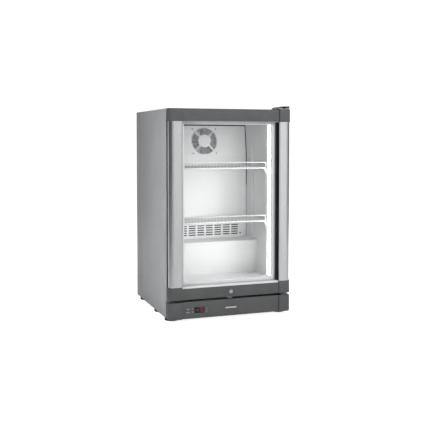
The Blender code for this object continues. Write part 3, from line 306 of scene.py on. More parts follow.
def soft_box(shape, box, radius, segments=2):
    """A box with all its edges rounded."""
    made = add_box(shape, *box)
    edges = list({e for v in made for e in v.link_edges})
    round_edges(shape, edges, radius, segments)


def round_edges(shape, edges, radius, segments=3):
    bmesh.ops.bevel(
        shape, geom=edges, offset=radius, offset_type="OFFSET", segments=segments,
        profile=0.5, affect="EDGES", material=-1, clamp_overlap=True,
    )


def push_outline(shape, outline, axis, start, end):
    """Pushes a flat outline along an axis. Its points hold the other two coordinates in X, Y, Z order."""
    index = "XYZ".index(axis)
    corners = []
    for point in outline:
        place = list(point)
        place.insert(index, start)
        corners.append(shape.verts.new(place))
    face = shape.faces.new(corners)
    pushed = bmesh.ops.extrude_face_region(shape, geom=[face])["geom"]
    bmesh.ops.translate(shape, verts=points_among(pushed), vec=AXES[axis] * (end - start))


def along(edge, axis):
    """True if the edge runs along the axis."""
    direction = (edge.verts[1].co - edge.verts[0].co).normalized()
    return abs(direction.dot(AXES[axis])) > 0.999


def upright_edges(shape, x, y):
    """The edges that stand on a place in plan."""
    return [e for e in shape.edges if along(e, "Z") and (e.verts[0].co.xy - Vector((x, y))).length < TOUCH]


def sharp_edges(shape, angle=30.0):
    limit = math.radians(angle)
    return [e for e in shape.edges if len(e.link_faces) == 2 and e.calc_face_angle(0.0) > limit]


def facing(axis):
    """The turn that points Z along a named axis. A turn is given back as it is."""
    return AXES[axis].to_track_quat("Z", "Y").to_matrix().to_4x4() if isinstance(axis, str) else axis


def rod(shape, start, end, radius, segments=10):
    """A round rod between two points."""
    start, end = Vector(start), Vector(end)
    run = end - start
    turn = run.to_track_quat("Z", "Y").to_matrix().to_4x4()
    bmesh.ops.create_cone(
        shape, cap_ends=True, segments=segments, radius1=radius, radius2=radius, depth=run.length,
        matrix=Matrix.Translation((start + end) / 2) @ turn,
    )


def turned(shape, centre, axis, profile, steps=32):
    """Spins a half section, given as (distance from the axis, height along it), a full turn."""
    verts = [shape.verts.new((radius, 0.0, height)) for radius, height in profile]
    edges = [shape.edges.new((verts[i], verts[i + 1])) for i in range(len(verts) - 1)]
    spun = bmesh.ops.spin(
        shape, geom=verts + edges, cent=ORIGIN, axis=(0, 0, 1), angle=math.tau, steps=steps, use_merge=True,
    )
    made = set(verts)
    for g in spun["geom_last"]:
        made |= {g} if isinstance(g, bmesh.types.BMVert) else set(g.verts)
    grow = set(made)
    while grow:
        grow = {e.other_vert(v) for v in grow for e in v.link_edges} - made
        made |= grow
    bmesh.ops.transform(shape, matrix=Matrix.Translation(centre) @ facing(axis), verts=list(made))


def wire_ring(shape, radius, thickness):
    """A round wire bent to a ring about Z."""
    circle = bmesh.ops.create_circle(shape, cap_ends=False, segments=6, radius=thickness / 2)["verts"]
    turn = Matrix.Translation((radius, 0.0, 0.0)) @ FORWARDS
    bmesh.ops.transform(shape, matrix=turn, verts=circle)
    edges = list({e for v in circle for e in v.link_edges})
    bmesh.ops.spin(
        shape, geom=circle + edges, cent=ORIGIN, axis=(0, 0, 1), angle=math.tau, steps=48, use_merge=True
    )


def bent_tube(name, points, radius, bend, closed=False, resolution=4):
    """A tube through corner points, each corner rounded to the bend radius, as a mesh."""
    route = [Vector(p) for p in points]
    line = []
    count = len(route)
    for i, here in enumerate(route):
        if not closed and i in (0, count - 1):
            line.append(here)
            continue
        before, after = route[i - 1], route[(i + 1) % count]
        a, b = (before - here), (after - here)
        reach = min(bend, a.length * 0.49, b.length * 0.49)
        start, end = here + a.normalized() * reach, here + b.normalized() * reach
        for step in range(6):
            t = step / 5
            line.append(start * (1 - t) ** 2 + here * 2 * t * (1 - t) + end * t * t)
    curve = bpy.data.curves.new(name, "CURVE")
    curve.dimensions = "3D"
    curve.bevel_depth = radius
    curve.bevel_resolution = resolution // 2
    curve.use_fill_caps = not closed
    spline = curve.splines.new("POLY")
    spline.points.add(len(line) - 1)
    for point, place in zip(spline.points, line):
        point.co = (*place, 1.0)
    spline.use_cyclic_u = closed
    holder = placed(name, curve)
    mesh = bpy.data.meshes.new_from_object(holder.evaluated_get(bpy.context.evaluated_depsgraph_get()))
    bpy.data.objects.remove(holder, do_unlink=True)
    bpy.data.curves.remove(curve)
    return mesh


def merge_mesh(shape, mesh):
    shape.from_mesh(mesh)
    bpy.data.meshes.remove(mesh)


def repaint(node, material):
    """Gives a node of the frame a finish and keeps its shape."""
    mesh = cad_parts[node].data
    mesh.materials.clear()
    mesh.materials.append(material)


def finish_piece(name, shape, material, body, slot, replaced=(), smooth=35.0, recalculate=True):
    """Turns a shape into a piece that rides on a body."""
    if recalculate:
        bmesh.ops.recalc_face_normals(shape, faces=shape.faces)
    mesh = bpy.data.meshes.new(name)
    shape.to_mesh(mesh)
    shape.free()
    mesh.materials.append(material)
    mesh.shade_smooth()
    mesh.set_sharp_from_angle(angle=math.radians(smooth))
    piece = placed(name, mesh)
    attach(piece, body)
    if replaced:
        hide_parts(*replaced)


def box_piece(name, boxes, radius, segments, *ride):
    """A piece of boxes with rounded edges. ride holds its material, body and slot; the slot is not used."""
    shape = bmesh.new()
    for box in boxes:
        soft_box(shape, box, radius, segments)
    finish_piece(name, shape, *ride)


def softened(node, material, body, slot, radius=0.0005, segments=2, angle=30.0):
    """A copy of a node with its flat faces joined and its sharp edges rounded."""
    shape = bmesh.new()
    shape.from_mesh(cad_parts[node].data)
    shape.transform(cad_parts[node].matrix_world)
    bmesh.ops.remove_doubles(shape, verts=shape.verts, dist=1e-6)
    bmesh.ops.dissolve_limit(
        shape, angle_limit=math.radians(1.0), use_dissolve_boundaries=False,
        verts=shape.verts, edges=shape.edges,
    )
    edges = sharp_edges(shape, angle)
    if edges:
        round_edges(shape, edges, radius, segments)
    finish_piece(f"{node}_soft", shape, material, body, slot, (node,), recalculate=False)


def screw(shape, centre, axis, radius=0.004, height=0.0016):
    """A pan head with a cross recess."""
    head = [
        (0.0, height), (radius * 0.55, height * 0.92), (radius * 0.9, height * 0.55), (radius, 0.0), (0.0, 0.0)
    ]
    turned(shape, centre, axis, head, 14)
    top = Matrix.Translation(centre) @ facing(axis) @ Matrix.Translation((0, 0, height))
    for spin in (0.0, math.pi / 2):
        made = bmesh.ops.create_cube(shape, size=1.0)["verts"]
        bmesh.ops.scale(shape, verts=made, vec=(radius * 1.1, radius * 0.22, height * 0.12))
        bmesh.ops.transform(shape, matrix=top @ Matrix.Rotation(spin, 4, "Z"), verts=made)


def mitred_frame(shape, rectangle, section):
    """Sweeps a closed section round an upright rectangle (x0, x1, z0, z1) with mitred corners.

    Each section point is (distance inwards from the rectangle, y).
    """
    x0, x1, z0, z1 = rectangle
    loops = []
    for x, z, dx, dz in ((x0, z0, 1, 1), (x1, z0, -1, 1), (x1, z1, -1, -1), (x0, z1, 1, -1)):
        verts = [shape.verts.new((x + dx * inwards, y, z + dz * inwards)) for inwards, y in section]
        edges = [shape.edges.new((verts[i], verts[(i + 1) % len(verts)])) for i in range(len(verts))]
        loops.append(edges)
    for i in range(4):
        bmesh.ops.bridge_loops(shape, edges=loops[i] + loops[(i + 1) % 4])


# ---- door ----


def cap_outline(rear):
    """Plan of the caps and the plinth: a middle set back between two end blocks."""
    left, right, face, slope = CAP_LEFT + BLOCK_END, CAP_RIGHT - BLOCK_END + LINING, CAP_FRONT + RECESS, 0.002
    return [
        (CAP_LEFT, rear), (CAP_LEFT, CAP_FRONT), (left, CAP_FRONT), (left + slope, face),
        (right - slope, face), (right, CAP_FRONT), (CAP_RIGHT, CAP_FRONT), (CAP_RIGHT, rear),
    ]


def moulded_cap(rear, low, high):
    """A cap with round front corners and soft rims."""
    shape = bmesh.new()
    push_outline(shape, cap_outline(rear), "Z", low, high)
    corners = upright_edges(shape, CAP_LEFT, CAP_FRONT) + upright_edges(shape, CAP_RIGHT, CAP_FRONT)
    round_edges(shape, corners, CORNER, 9)
    end = CAP_RIGHT - BLOCK_END
    steps = [e for e in shape.edges if along(e, "Z") and abs(abs(e.verts[0].co.x) - end) < 0.0065]
    round_edges(shape, steps, 0.0005, 3)
    rims = [e for e in sharp_edges(shape, 60.0) if not along(e, "Z")]
    round_edges(shape, rims, 0.0014, 3)
    return shape


def sink_pockets(shape, flat, axes, boxes, push):
    """Sinks rectangular pockets into a flat face. Each box gives its limits along the face's two axes."""
    for axis, picks in zip(axes, (slice(0, 2), slice(2, 4))):
        for value in sorted({v for box in boxes for v in box[picks]}):
            faces = [f for f in shape.faces if flat(f)]
            geom = list({g for f in faces for g in (*f.edges, *f.verts, f)})
            point, normal = [0.0] * 3, [0.0] * 3
            point[axis], normal[axis] = value, 1.0
            bmesh.ops.bisect_plane(shape, geom=geom, dist=1e-7, plane_co=point, plane_no=normal)
    for a0, a1, b0, b1 in boxes:
        inside = []
        for f in shape.faces:
            middle = f.calc_center_median()
            if flat(f) and a0 < middle[axes[0]] < a1 and b0 < middle[axes[1]] < b1:
                inside.append(f)
        pushed = bmesh.ops.extrude_face_region(shape, geom=inside)["geom"]
        bmesh.ops.delete(shape, geom=inside, context="FACES_ONLY")
        bmesh.ops.translate(shape, verts=points_among(pushed), vec=push)


def door_caps():
    """The two caps. The lower one has a slot for the lock's bolt."""
    shape = moulded_cap(*limits("door_top_cap")[3:])
    finish_piece("door_top_cap_moulding", shape, ANTHRACITE, "door", "dark_plastic", ("door_top_cap",))
    z0 = limits("door_bottom_cap")[4]
    shape = moulded_cap(*limits("door_bottom_cap")[3:])
    bolt = limits("lock_bolt")
    gap = 0.0005

    def underside(f):
        return f.normal.z < -0.99 and all(abs(v.co.z - z0) < 1e-6 for v in f.verts)

    slot = (bolt[0] - gap, bolt[1] + gap, bolt[2] - gap, bolt[3] + gap)
    sink_pockets(shape, underside, (0, 1), [slot], (0.0, 0.0, bolt[5] - z0 + gap))
    finish_piece("door_bottom_cap_moulding", shape, ANTHRACITE, "door", "dark_plastic", ("door_bottom_cap",))


def door_profiles():
    """Extruded uprights with a round outer corner, a fine bead along each edge and a black lining inside."""
    for node in ("door_left_profile", "door_right_profile"):
        x0, x1, y0, y1, z0, z1 = limits(node)
        side = -1 if x0 < 0 else 1
        outer, inner = (x0, x1) if side < 0 else (x1, x0 + LINING)
        step = -side
        groove = 0.0005
        outline = [
            (outer, y1), (outer, y0),
            (outer + step * 0.0145, y0), (outer + step * 0.0150, y0 + groove),
            (outer + step * 0.0160, y0 + groove), (outer + step * 0.0165, y0),
            (inner - step * 0.0050, y0), (inner - step * 0.0045, y0 + groove),
            (inner - step * 0.0035, y0 + groove), (inner - step * 0.0030, y0),
            (inner, y0), (inner, y1),
        ]
        shape = bmesh.new()
        push_outline(shape, outline, "Z", z0, z1)
        round_edges(shape, upright_edges(shape, outer, y0), UPRIGHT_CORNER, 8)
        round_edges(shape, upright_edges(shape, inner, y0), 0.0012, 3)
        finish_piece(f"{node}_extrusion", shape, ALUMINIUM, "door", "aluminium", (node,))

        shape = bmesh.new()
        a, b = sorted((inner - step * 0.0006, inner + step * 0.0002))
        soft_box(shape, (a, b, y0 + 0.0012, y1, z0 + 0.0002, z1 - 0.0002), 0.0001, 1)
        for row in range(4):
            y = y0 + 0.0050 + row * 0.0045
            c, d = sorted((inner + step * 0.0001, inner + step * 0.0009))
            soft_box(shape, (c, d, y, y + 0.0016, z0 + 0.001, z1 - 0.001), 0.0003)
        finish_piece(f"{node}_grip_lining", shape, GRIP, "door", "black_plastic")
        c, d = sorted((inner - step * 0.0004, inner + step * 0.0070))
        lip = (c, d, y1 - 0.0016, y1, z0 + 0.0002, z1 - 0.0002)
        box_piece(f"{node}_glazing_lip", [lip], 0.0005, 2, SEAL_AND_GAP_SHADOW, "door", "rubber")


def door_glazing():
    for node in ("outer_glass", "inner_glass"):
        softened(node, GLASS, "door", "clear_glass", 0.0004)
    for node in ("door_left_stile", "door_right_stile"):
        softened(node, BLACK, "door", "black_plastic", 0.0008)
    softened("glass_unit_frame", PVC, "door", "white_plastic", 0.0009, 3)

    # The bellows seal: a magnet bar at the rear, two folds and a flat foot.
    x0, x1, y0, y1, z0, z1 = limits("door_gasket")
    foot, rear, width = y0, y1, 0.0185
    section = [
        (0.0008, foot), (width - 0.0005, foot), (width, foot + 0.0015), (width - 0.0035, foot + 0.0030),
        (width - 0.0010, foot + 0.0052), (width - 0.0010, rear - 0.0004), (width - 0.0022, rear),
        (0.0045, rear), (0.0030, rear - 0.0006), (0.0030, foot + 0.0056), (0.0062, foot + 0.0044),
        (0.0004, foot + 0.0022),
    ]
    shape = bmesh.new()
    mitred_frame(shape, (x0, x1, z0, z1), section)
    # The seal's dark grey partly paints the shadow in the gap round the door.
    finish_piece("door_gasket_bellows", shape, SEAL_AND_GAP_SHADOW, "door", "rubber", ("door_gasket",), 28.0)


def door_edge_trims():
    """A dark outer lip fills the gap to the cabinet as painted shadow, and a light strip along the rear of
    each upright paints the highlight of its rear edge.
    """
    x0, x1, y0, y1, z0, z1 = limits("door_gasket")
    # The lip is a dark strip laid in the gap to paint its shadow.
    lip = bmesh.new()
    section = [(0.0, y0 + 0.0008), (0.0160, y0 + 0.0008), (0.0160, y0 + 0.0026), (0.0, y0 + 0.0030)]
    mitred_frame(lip, (x0 - 0.0154, x1 + 0.0154, z0 - 0.0008, z1 + 0.0133), section)
    finish_piece("door_gasket_shadow_lip", lip, SEAL_AND_GAP_SHADOW, "door", "rubber")
    for node in ("door_left_profile", "door_right_profile"):
        x0, x1, y0, y1, z0, z1 = limits(node)
        outer = x0 if x0 < 0 else x1
        out = -1 if x0 < 0 else 1
        # The light strip paints the highlight of the upright's rear edge.
        a, b = sorted((outer - out * 0.0010, outer + out * 0.0005))
        strip = (a, b, y1 - 0.0100, y1 - 0.0045, z0 + 0.0003, z1 - 0.0003)
        box_piece(f"{node}_side_highlight_strip", [strip], 0.0003, 2, LEDGE_AND_EDGE_HIGHLIGHT, "door", "white_plastic")


def glazing_ledges():
    """Light strips on the caps, in front of the glass, that drain and hide the caps' open edges."""
    x0, x1 = limits("door_left_profile")[1] + 0.0002, limits("door_right_profile")[0] + LINING - 0.0002
    face, glass_front = CAP_FRONT + RECESS, limits("outer_glass")[2]
    for name, z in (("top", CAP_LOW), ("bottom", limits("door_bottom_cap")[5])):
        shape = bmesh.new()
        out = 1 if name == "bottom" else -1
        a, b = sorted((z + out * 0.0001, z + out * 0.0010))
        soft_box(shape, (x0, x1, face - 0.0008, glass_front - 0.0002, a, b), 0.0004)
        if name == "bottom":
            soft_box(shape, (x0, x1, face - 0.0010, face + 0.0004, z - BEAD, b), 0.0003)
        finish_piece(f"glazing_{name}_ledge", shape, LEDGE_AND_EDGE_HIGHLIGHT, "door", "aluminium")


def door_lock():
    """The key cylinder with its bezel and slot, and the bolt."""
    _, _, face, _, z0, _ = limits("lock_cylinder")
    axis_z = z0 + 0.008
    centre = (0.0, face + 0.0002, axis_z)
    shape = bmesh.new()
    bezel = [
        (0.0030, 0.0), (0.0052, 0.0002), (0.0054, -0.0006), (0.0060, -0.0006), (0.0064, 0.0),
        (0.0074, 0.0), (0.0080, -0.0008), (0.0080, -0.0165), (0.0, -0.0165),
    ]
    turned(shape, centre, FORWARDS, bezel, 40)
    plug = [(0.0, -0.0004), (0.0029, -0.0004), (0.0031, -0.0030)]
    turned(shape, centre, FORWARDS, plug, 28)
    finish_piece("lock_cylinder_plated", shape, CHROME, "lock_cylinder", "chrome", ("lock_cylinder",))
    slot = (-0.0007, 0.0007, face + 0.0003, face + 0.0012, axis_z - 0.0026, axis_z + 0.0026)
    box_piece("lock_key_slot", [slot], 0.0001, 1, BLACK, "lock_cylinder", "black_plastic")
    softened("lock_bolt", ZINC, "lock_bolt", "zinc_steel", 0.0006)
    softened("lock_strike", ZINC, "cabinet", "zinc_steel", 0.0006)


# ---- cabinet ----


def cabinet_shell():
    """The silver panels with their folds, the rear sheet, the base, the collar and the foam between them."""
    for node in ("left_side_panel", "right_side_panel", "top_panel"):
        softened(node, POWDER, "cabinet", "silver_steel", 0.0004)
    # Folded returns at the rear edges of the side panels, as on pressed sheet.
    for name in ("left", "right"):
        x0, x1, _, y1, z0, z1 = limits(f"{name}_side_panel")
        side = -1 if x0 < 0 else 1
        inner = x1 if side < 0 else x0
        a, b = sorted((inner - side * 0.0002, inner - side * 0.0110))
        shape = bmesh.new()
        soft_box(shape, (a, b, y1 + 0.0001, y1 + 0.0011, z0 + 0.004, z1 - 0.004), 0.0004)
        for z in (z0 + 0.05, (z0 + z1) / 2, z1 - 0.05):
            screw(shape, (inner - side * 0.0065, y1 + 0.0011, z), "Y", 0.0034, 0.0013)
        finish_piece(f"{name}_side_rear_fold", shape, POWDER, "cabinet", "silver_steel")

    softened("front_collar", PVC, "cabinet", "white_plastic", 0.0003)
    softened("base_plate", ZINC, "cabinet", "zinc_steel", 0.0005)
    softened("insulation_foam", FOAM, "cabinet", "foam", 0.001, 1)

    # The rear sheet, with a pressed field and its screws.
    x0, x1, y0, y1, z0, z1 = limits("back_panel")
    shape = bmesh.new()
    add_box(shape, x0, x1, y0, y1, z0, z1)
    face = [f for f in shape.faces if f.normal.y > 0.9]
    bmesh.ops.inset_region(shape, faces=face, thickness=0.022, depth=0.0)
    bmesh.ops.inset_region(shape, faces=face, thickness=0.0025, depth=-0.0004)
    finish_piece("back_panel_pressed", shape, ZINC, "cabinet", "zinc_steel", ("back_panel",))
    shape = bmesh.new()
    for x in (x0 + 0.012, x1 - 0.012):
        for z in spread(z0 + 0.02, z1 - z0 - 0.04, 6):
            screw(shape, (x, y1, z), "Y", 0.0036, 0.0014)
    finish_piece("back_panel_screws", shape, ZINC, "cabinet", "zinc_steel")
    softened("compartment_grille", ZINC, "cabinet", "zinc_steel", 0.0004, 1)


def inner_liner():
    """The formed tub: every inside corner rounded, with a stepped floor."""
    x0, x1, y0, y1, z0, z1 = limits("inner_liner")
    wall = 0.0015
    floor, rear, ceiling = z0 + wall, y1 - wall, z1 - wall
    step_y, step_top = -0.014, limits("evaporator_cover")[4] - 0.0003
    outline = [
        (y0, floor), (step_y, floor), (step_y, step_top), (rear, step_top), (rear, ceiling), (y0, ceiling)
    ]
    shape = bmesh.new()
    push_outline(shape, outline, "X", x0 + wall, x1 - wall)
    front = [f for f in shape.faces if all(abs(v.co.y - y0) < 1e-6 for v in f.verts)]
    bmesh.ops.delete(shape, geom=front, context="FACES_ONLY")
    brink = [
        e for e in shape.edges
        if along(e, "X") and (e.verts[0].co.yz - Vector((step_y, step_top))).length < TOUCH
    ]
    round_edges(shape, brink, 0.0035, 4)
    round_edges(shape, [e for e in sharp_edges(shape, 40.0) if e.is_manifold], 0.009, 5)
    bmesh.ops.recalc_face_normals(shape, faces=shape.faces)
    middle = Vector((0.0, 0.0, 0.45))
    sample = max(shape.faces, key=lambda f: f.calc_area())
    if sample.normal.dot(sample.calc_center_median() - middle) > 0:
        bmesh.ops.reverse_faces(shape, faces=shape.faces)
    bmesh.ops.solidify(shape, geom=shape.faces[:], thickness=wall)
    finish_piece("inner_liner_formed", shape, LINER, "cabinet", "white_plastic", ("inner_liner",))


def lamp():
    """The light strip on the right wall: an opal diffuser on its base, between two end caps."""
    x0, x1, y0, y1, z0, z1 = limits("lamp_diffuser")
    shape = bmesh.new()
    add_box(shape, x0 + 0.002, x1, y0 + 0.010, y1, z0, z1)
    edges = [e for e in shape.edges if along(e, "Z") and abs(e.verts[0].co.x - x0 - 0.002) < 1e-6]
    round_edges(shape, edges, 0.0050, 6)
    finish_piece("lamp_diffuser_opal", shape, LAMP, "cabinet", "lamp", ("lamp_diffuser",))
    softened("lamp_base", PVC, "cabinet", "white_plastic", 0.0004)
    ends = ((z0 - 0.0012, z0 + 0.006), (z1 - 0.006, z1 + 0.0012))
    caps = [(x0 - 0.0006, x1, y0 - 0.0008, y1 + 0.0008, *end) for end in ends]
    box_piece("lamp_end_caps", caps, 0.0007, 2, PVC, "cabinet", "white_plastic")


# ---- cold side ----


def evaporator():
    """The cover with its folded edges and screws, the fan's guard, and the coil behind them."""
    repaint("evaporator_cover", ENAMEL)
    x0, x1, y0, y1, z0, z1 = limits("evaporator_cover")
    hub = fan_axis()
    shape = bmesh.new()
    for dx in (-SCREW_INSET, SCREW_INSET):
        for dz in (-SCREW_INSET, SCREW_INSET):
            screw(shape, hub @ Vector((dx, dz, 0.0)), hub.to_3x3().to_4x4(), 0.0028, 0.0014)
    for x in (x1 - 0.030, x0 + 0.030):
        screw(shape, (x, y0, z0 + 0.018), "-Y", 0.0036, 0.0014)
    finish_piece("evaporator_cover_screws", shape, BLACK_ENAMEL, "cabinet", "black_enamel")
    # A turned-back fold down each side of the cover.
    shape = bmesh.new()
    bend_z = fan_bend()
    for a, b in ((x0, x0 + 0.0012), (x1 - 0.0012, x1)):
        outline = [
            (y0 + 0.0016, z0), (y0 + 0.0120, z0), (y0 + 0.0120, bend_z), (y1 + 0.0090, z1),
            (y1 + 0.0001, z1), (y0 + 0.0016, bend_z),
        ]
        push_outline(shape, outline, "X", a, b)
    finish_piece("evaporator_cover_folds", shape, ENAMEL, "cabinet", "white_plastic")

    # A dark strip along the top and the right edge paints the shadow in the gap round the cover, and a black
    # sheet behind the slots paints the shade inside them.
    shape = bmesh.new()
    ceiling = limits("inner_liner")[5] - 0.0016
    soft_box(shape, (x0 + 0.001, x1 - 0.0002, y1 - 0.0005, y1 + 0.006, z1 - 0.0015, ceiling), 0.0006)
    outline = [(y0 - 0.0016, bend_z), (y0 + 0.0030, bend_z), (y1 + 0.003, z1), (y1 - 0.0016, z1)]
    push_outline(shape, outline, "X", x1 - 0.0032, x1 - 0.0001)
    upright = (x1 - 0.0032, x1 - 0.0001, y0 - 0.0016, y0 + 0.0030, bend_z - 0.13, bend_z + 0.0002)
    soft_box(shape, upright, 0.0003)
    finish_piece("evaporator_cover_gap_shadow", shape, RUBBER, "cabinet", "rubber")
    slots = (x0 + 0.004, x1 - 0.004, y0 + 0.0022, y0 + 0.0050, z0 + 0.004, z0 + 0.056)
    box_piece("evaporator_slot_shade_backing", [slots], 0.001, 2, GRIP, "cabinet", "black_plastic")
    # A grey strip continues the painted gap shadow down the rest of the right edge.
    edge = (x1 - 0.0022, x1 - 0.0001, y0 - 0.0008, y0 + 0.0020, z0 + 0.001, bend_z - 0.1302)
    box_piece("evaporator_cover_edge_shadow", [edge], 0.0003, 2, GREY, "cabinet", "grey_plastic")

    # The guard: nine wire rings, four spokes, a disc over the motor and a rim.
    first_ring, ring_pitch, wire = 0.0312, 0.0034, 0.0016
    guard = bmesh.new()
    for k in range(9):
        wire_ring(guard, first_ring + k * ring_pitch, wire)
    bmesh.ops.translate(guard, verts=guard.verts, vec=(0, 0, wire))
    bmesh.ops.transform(guard, matrix=hub, verts=guard.verts)
    finish_piece("fan_guard_rings", guard, GUARD, "cabinet", "grey_plastic", ("fan_guard",))
    spokes = bmesh.new()
    for quarter in range(4):
        made = add_box(spokes, 0.0265, 0.0590, -0.0029, 0.0029, 0.0003, 0.0038)
        angle = math.pi / 4 + quarter * math.pi / 2
        bmesh.ops.rotate(spokes, verts=made, cent=ORIGIN, matrix=Matrix.Rotation(angle, 3, "Z"))
    disc = [
        (0.0, 0.0034), (0.020, 0.0032), (0.0265, 0.0026), (0.0285, 0.0016), (0.0285, 0.0003), (0.0, 0.0003)
    ]
    turned(spokes, (0, 0, 0), Matrix.Identity(4), disc, 40)
    rim = [(0.0575, 0.0003), (0.0600, 0.0003), (0.0600, 0.0016), (0.0592, 0.0024), (0.0575, 0.0024)]
    rim.append(rim[0])
    turned(spokes, (0, 0, 0), Matrix.Identity(4), rim, 48)
    bmesh.ops.remove_doubles(spokes, verts=spokes.verts, dist=1e-7)
    bmesh.ops.transform(spokes, matrix=hub, verts=spokes.verts)
    finish_piece("fan_guard_spokes", spokes, HUB, "cabinet", "grey_plastic")

    softened("fan_housing", BLACK, "cabinet", "black_plastic", 0.0008)
    softened("fan_impeller", BLACK, "fan_rotor", "black_plastic", 0.0003, 1)
    coil()


def fan_bend():
    """Height at which the cover starts to lean: the fan's frame and its margin below the top."""
    return limits("evaporator_cover")[5] - COVER_LEAN_HEIGHT


def fan_axis():
    """The fan's own frame: its origin on the cover's leaning face, its Z out of the cover."""
    x0, x1, y0, y1, z0, z1 = limits("fan_guard")
    lean = math.atan2(COVER_LEAN, COVER_LEAN_HEIGHT)
    out = Vector((0.0, -math.cos(lean), math.sin(lean)))
    centre = Vector(((x0 + x1) / 2, (y0 + y1) / 2, (z0 + z1) / 2)) - out * 0.00155
    right = Vector((1.0, 0.0, 0.0))
    up = out.cross(right)
    basis = Matrix((right, up, out)).transposed().to_4x4()
    return Matrix.Translation(centre) @ basis


def serpentine(rows, x0, x1, y, low, height):
    """Corner points of a tube that runs from side to side and climbs at each end."""
    route = []
    for row, z in enumerate(spread(low, height, rows)):
        ends = (x0, x1) if row % 2 == 0 else (x1, x0)
        route += [(x, y, z) for x in ends]
    return route


def coil():
    """A finned coil: thin fins on tubes that turn back at their ends."""
    x0, x1, y0, y1, z0, z1 = limits("evaporator_coil")
    shape = bmesh.new()
    half_fin, inset = 0.00025, 0.001
    for x in spread(x0 + 0.010, x1 - x0 - 0.020, 46):
        add_box(shape, x - half_fin, x + half_fin, y0 + inset, y1 - inset, z0 + inset, z1 - inset)
    finish_piece("evaporator_fins", shape, FINS, "cabinet", "aluminium", ("evaporator_coil",))
    route = serpentine(6, x0 + 0.005, x1 - 0.005, (y0 + y1) / 2, z0 + 0.016, z1 - z0 - 0.032)
    shape = bmesh.new()
    merge_mesh(shape, bent_tube("evaporator_tube", route, 0.004, 0.015))
    finish_piece("evaporator_tube", shape, COPPER, "cabinet", "copper", recalculate=False)


# ---- shelves ----


def shelf_rails():
    """Pressed ladder strips: two folded edges with a rung every 12 mm."""
    for node in (f"shelf_rail_{row}_{side}" for row in ("front", "rear") for side in ("left", "right")):
        x0, x1, y0, y1, z0, z1 = limits(node)
        wall, face = (x0, x1) if x0 < 0 else (x1, x0)
        inwards = 1 if x0 < 0 else -1
        face += inwards * 0.0020
        z1 += 0.009
        shape = bmesh.new()
        a, b = sorted((wall, wall + inwards * 0.0012))
        soft_box(shape, (a, b, y0, y1, z0, z1), 0.0003, 1)
        a, b = sorted((wall, face))
        for c, d in ((y0, y0 + 0.0045), (y1 - 0.0045, y1)):
            soft_box(shape, (a, b, c, d, z0, z1), 0.0008)
        for i in range(int((z1 - z0) / RUNG_PITCH)):
            z = z0 + 0.004 + i * RUNG_PITCH
            soft_box(shape, (a, b, y0 + 0.004, y1 - 0.004, z, z + 0.0055), 0.0005, 1)
            soft_box(shape, (a + 0.0002, b - 0.0002, y0 - 0.0007, y0 + 0.001, z, z + 0.0060), 0.0003, 1)
        finish_piece(f"{node}_ladder", shape, WIRE, "cabinet", "white_wire", (node,))


def wire_shelf(node):
    """A welded wire tray: a frame, close wires from front to back, a raised front wire and side gussets."""
    _, _, y0, y1, _, z1 = limits(node)
    rail_face = limits("shelf_rail_front_right")[0]
    half = rail_face - 0.0065
    z1 -= SHELF_DROP
    thick, thin, fine = 0.0031, 0.0013, 0.0009
    guard_rise, clearance = 0.025, 0.003
    low = z1 - guard_rise - clearance + thick
    shape = bmesh.new()
    front, rear = y0 + thick, y1 - thick
    corners = [(-half, front, low), (half, front, low), (half, rear, low), (-half, rear, low)]
    merge_mesh(shape, bent_tube("frame", corners, thick, 0.012, closed=True))
    for y in spread(front, rear - front, 5)[1:-1]:
        rod(shape, (-half, y, low - 0.0004), (half, y, low - 0.0004), 0.0018, 8)
    wires = 33
    top = z1 - thin - 0.0005
    for x in spread(-half + 0.009, 2 * half - 0.018, wires):
        run = [(x, rear, low + 0.0028), (x, front - 0.0002, low + 0.0028)]
        merge_mesh(shape, bent_tube("tray_wire", run, thin, 0.004, resolution=2))
    # The fence's grey wires paint the darker shaded band along the shelf front.
    fence = bmesh.new()
    for x in spread(-half + 0.005, 2 * half - 0.010, 2 * wires):
        rod(fence, (x, front + 0.0004, low), (x, front + 0.0004, top), fine, 5)
    finish_piece(f"{node}_fence_painted_shade", fence, FENCE_SHADE, "cabinet", "white_wire")
    guard = [(-half, front, low), (-half, front, top), (half, front, top), (half, front, low)]
    merge_mesh(shape, bent_tube("guard", guard, 0.0021, 0.010))
    finish_piece(f"{node}_wires", shape, WIRE, "cabinet", "white_wire", (node,), recalculate=False)

    # Gusset plates that hook into the rails.
    face, hook = rail_face - 0.0003, rail_face + 0.0028
    outline = [
        (half - 0.004, low + 0.0008), (face, low + 0.0008), (face, low - 0.0045), (hook, low - 0.0045),
        (hook, low - 0.0130), (face, low - 0.0130), (face, low - 0.0280), (rail_face - 0.0030, low - 0.0280),
        (half - 0.006, low - 0.0015),
    ]
    shape = bmesh.new()
    for row in ("front", "rear"):
        _, _, a, b, _, _ = limits(f"shelf_rail_{row}_right")
        y, half_plate = (a + b) / 2, 0.0014
        for side in (-1, 1):
            plate = [(side * x, z) for x, z in outline]
            push_outline(shape, plate, "Y", y - half_plate, y + half_plate)
    finish_piece(f"{node}_gussets", shape, WIRE, "cabinet", "white_wire")


# ---- plinth and controls ----


BUTTONS = [f"button_{row}_{column}" for row in ("lower", "upper") for column in ("left", "right")]


def plinth():
    """The moulded plinth, with pockets for the display and the buttons."""
    face, gap = CAP_FRONT + RECESS, 0.0003
    shape = moulded_cap(*limits("plinth_panel")[3:])
    boxes = []
    for node in ("display_window", *BUTTONS):
        b = limits(node)
        boxes.append((b[0] - gap, b[1] + gap, b[4] - gap, b[5] + gap))

    def front(f):
        return f.normal.y < -0.99 and all(abs(v.co.y - face) < 1e-6 for v in f.verts)

    sink_pockets(shape, front, (0, 2), boxes, (0.0, 0.0055, 0.0))
    finish_piece("plinth_panel_moulding", shape, ANTHRACITE, "cabinet", "dark_plastic", ("plinth_panel",))


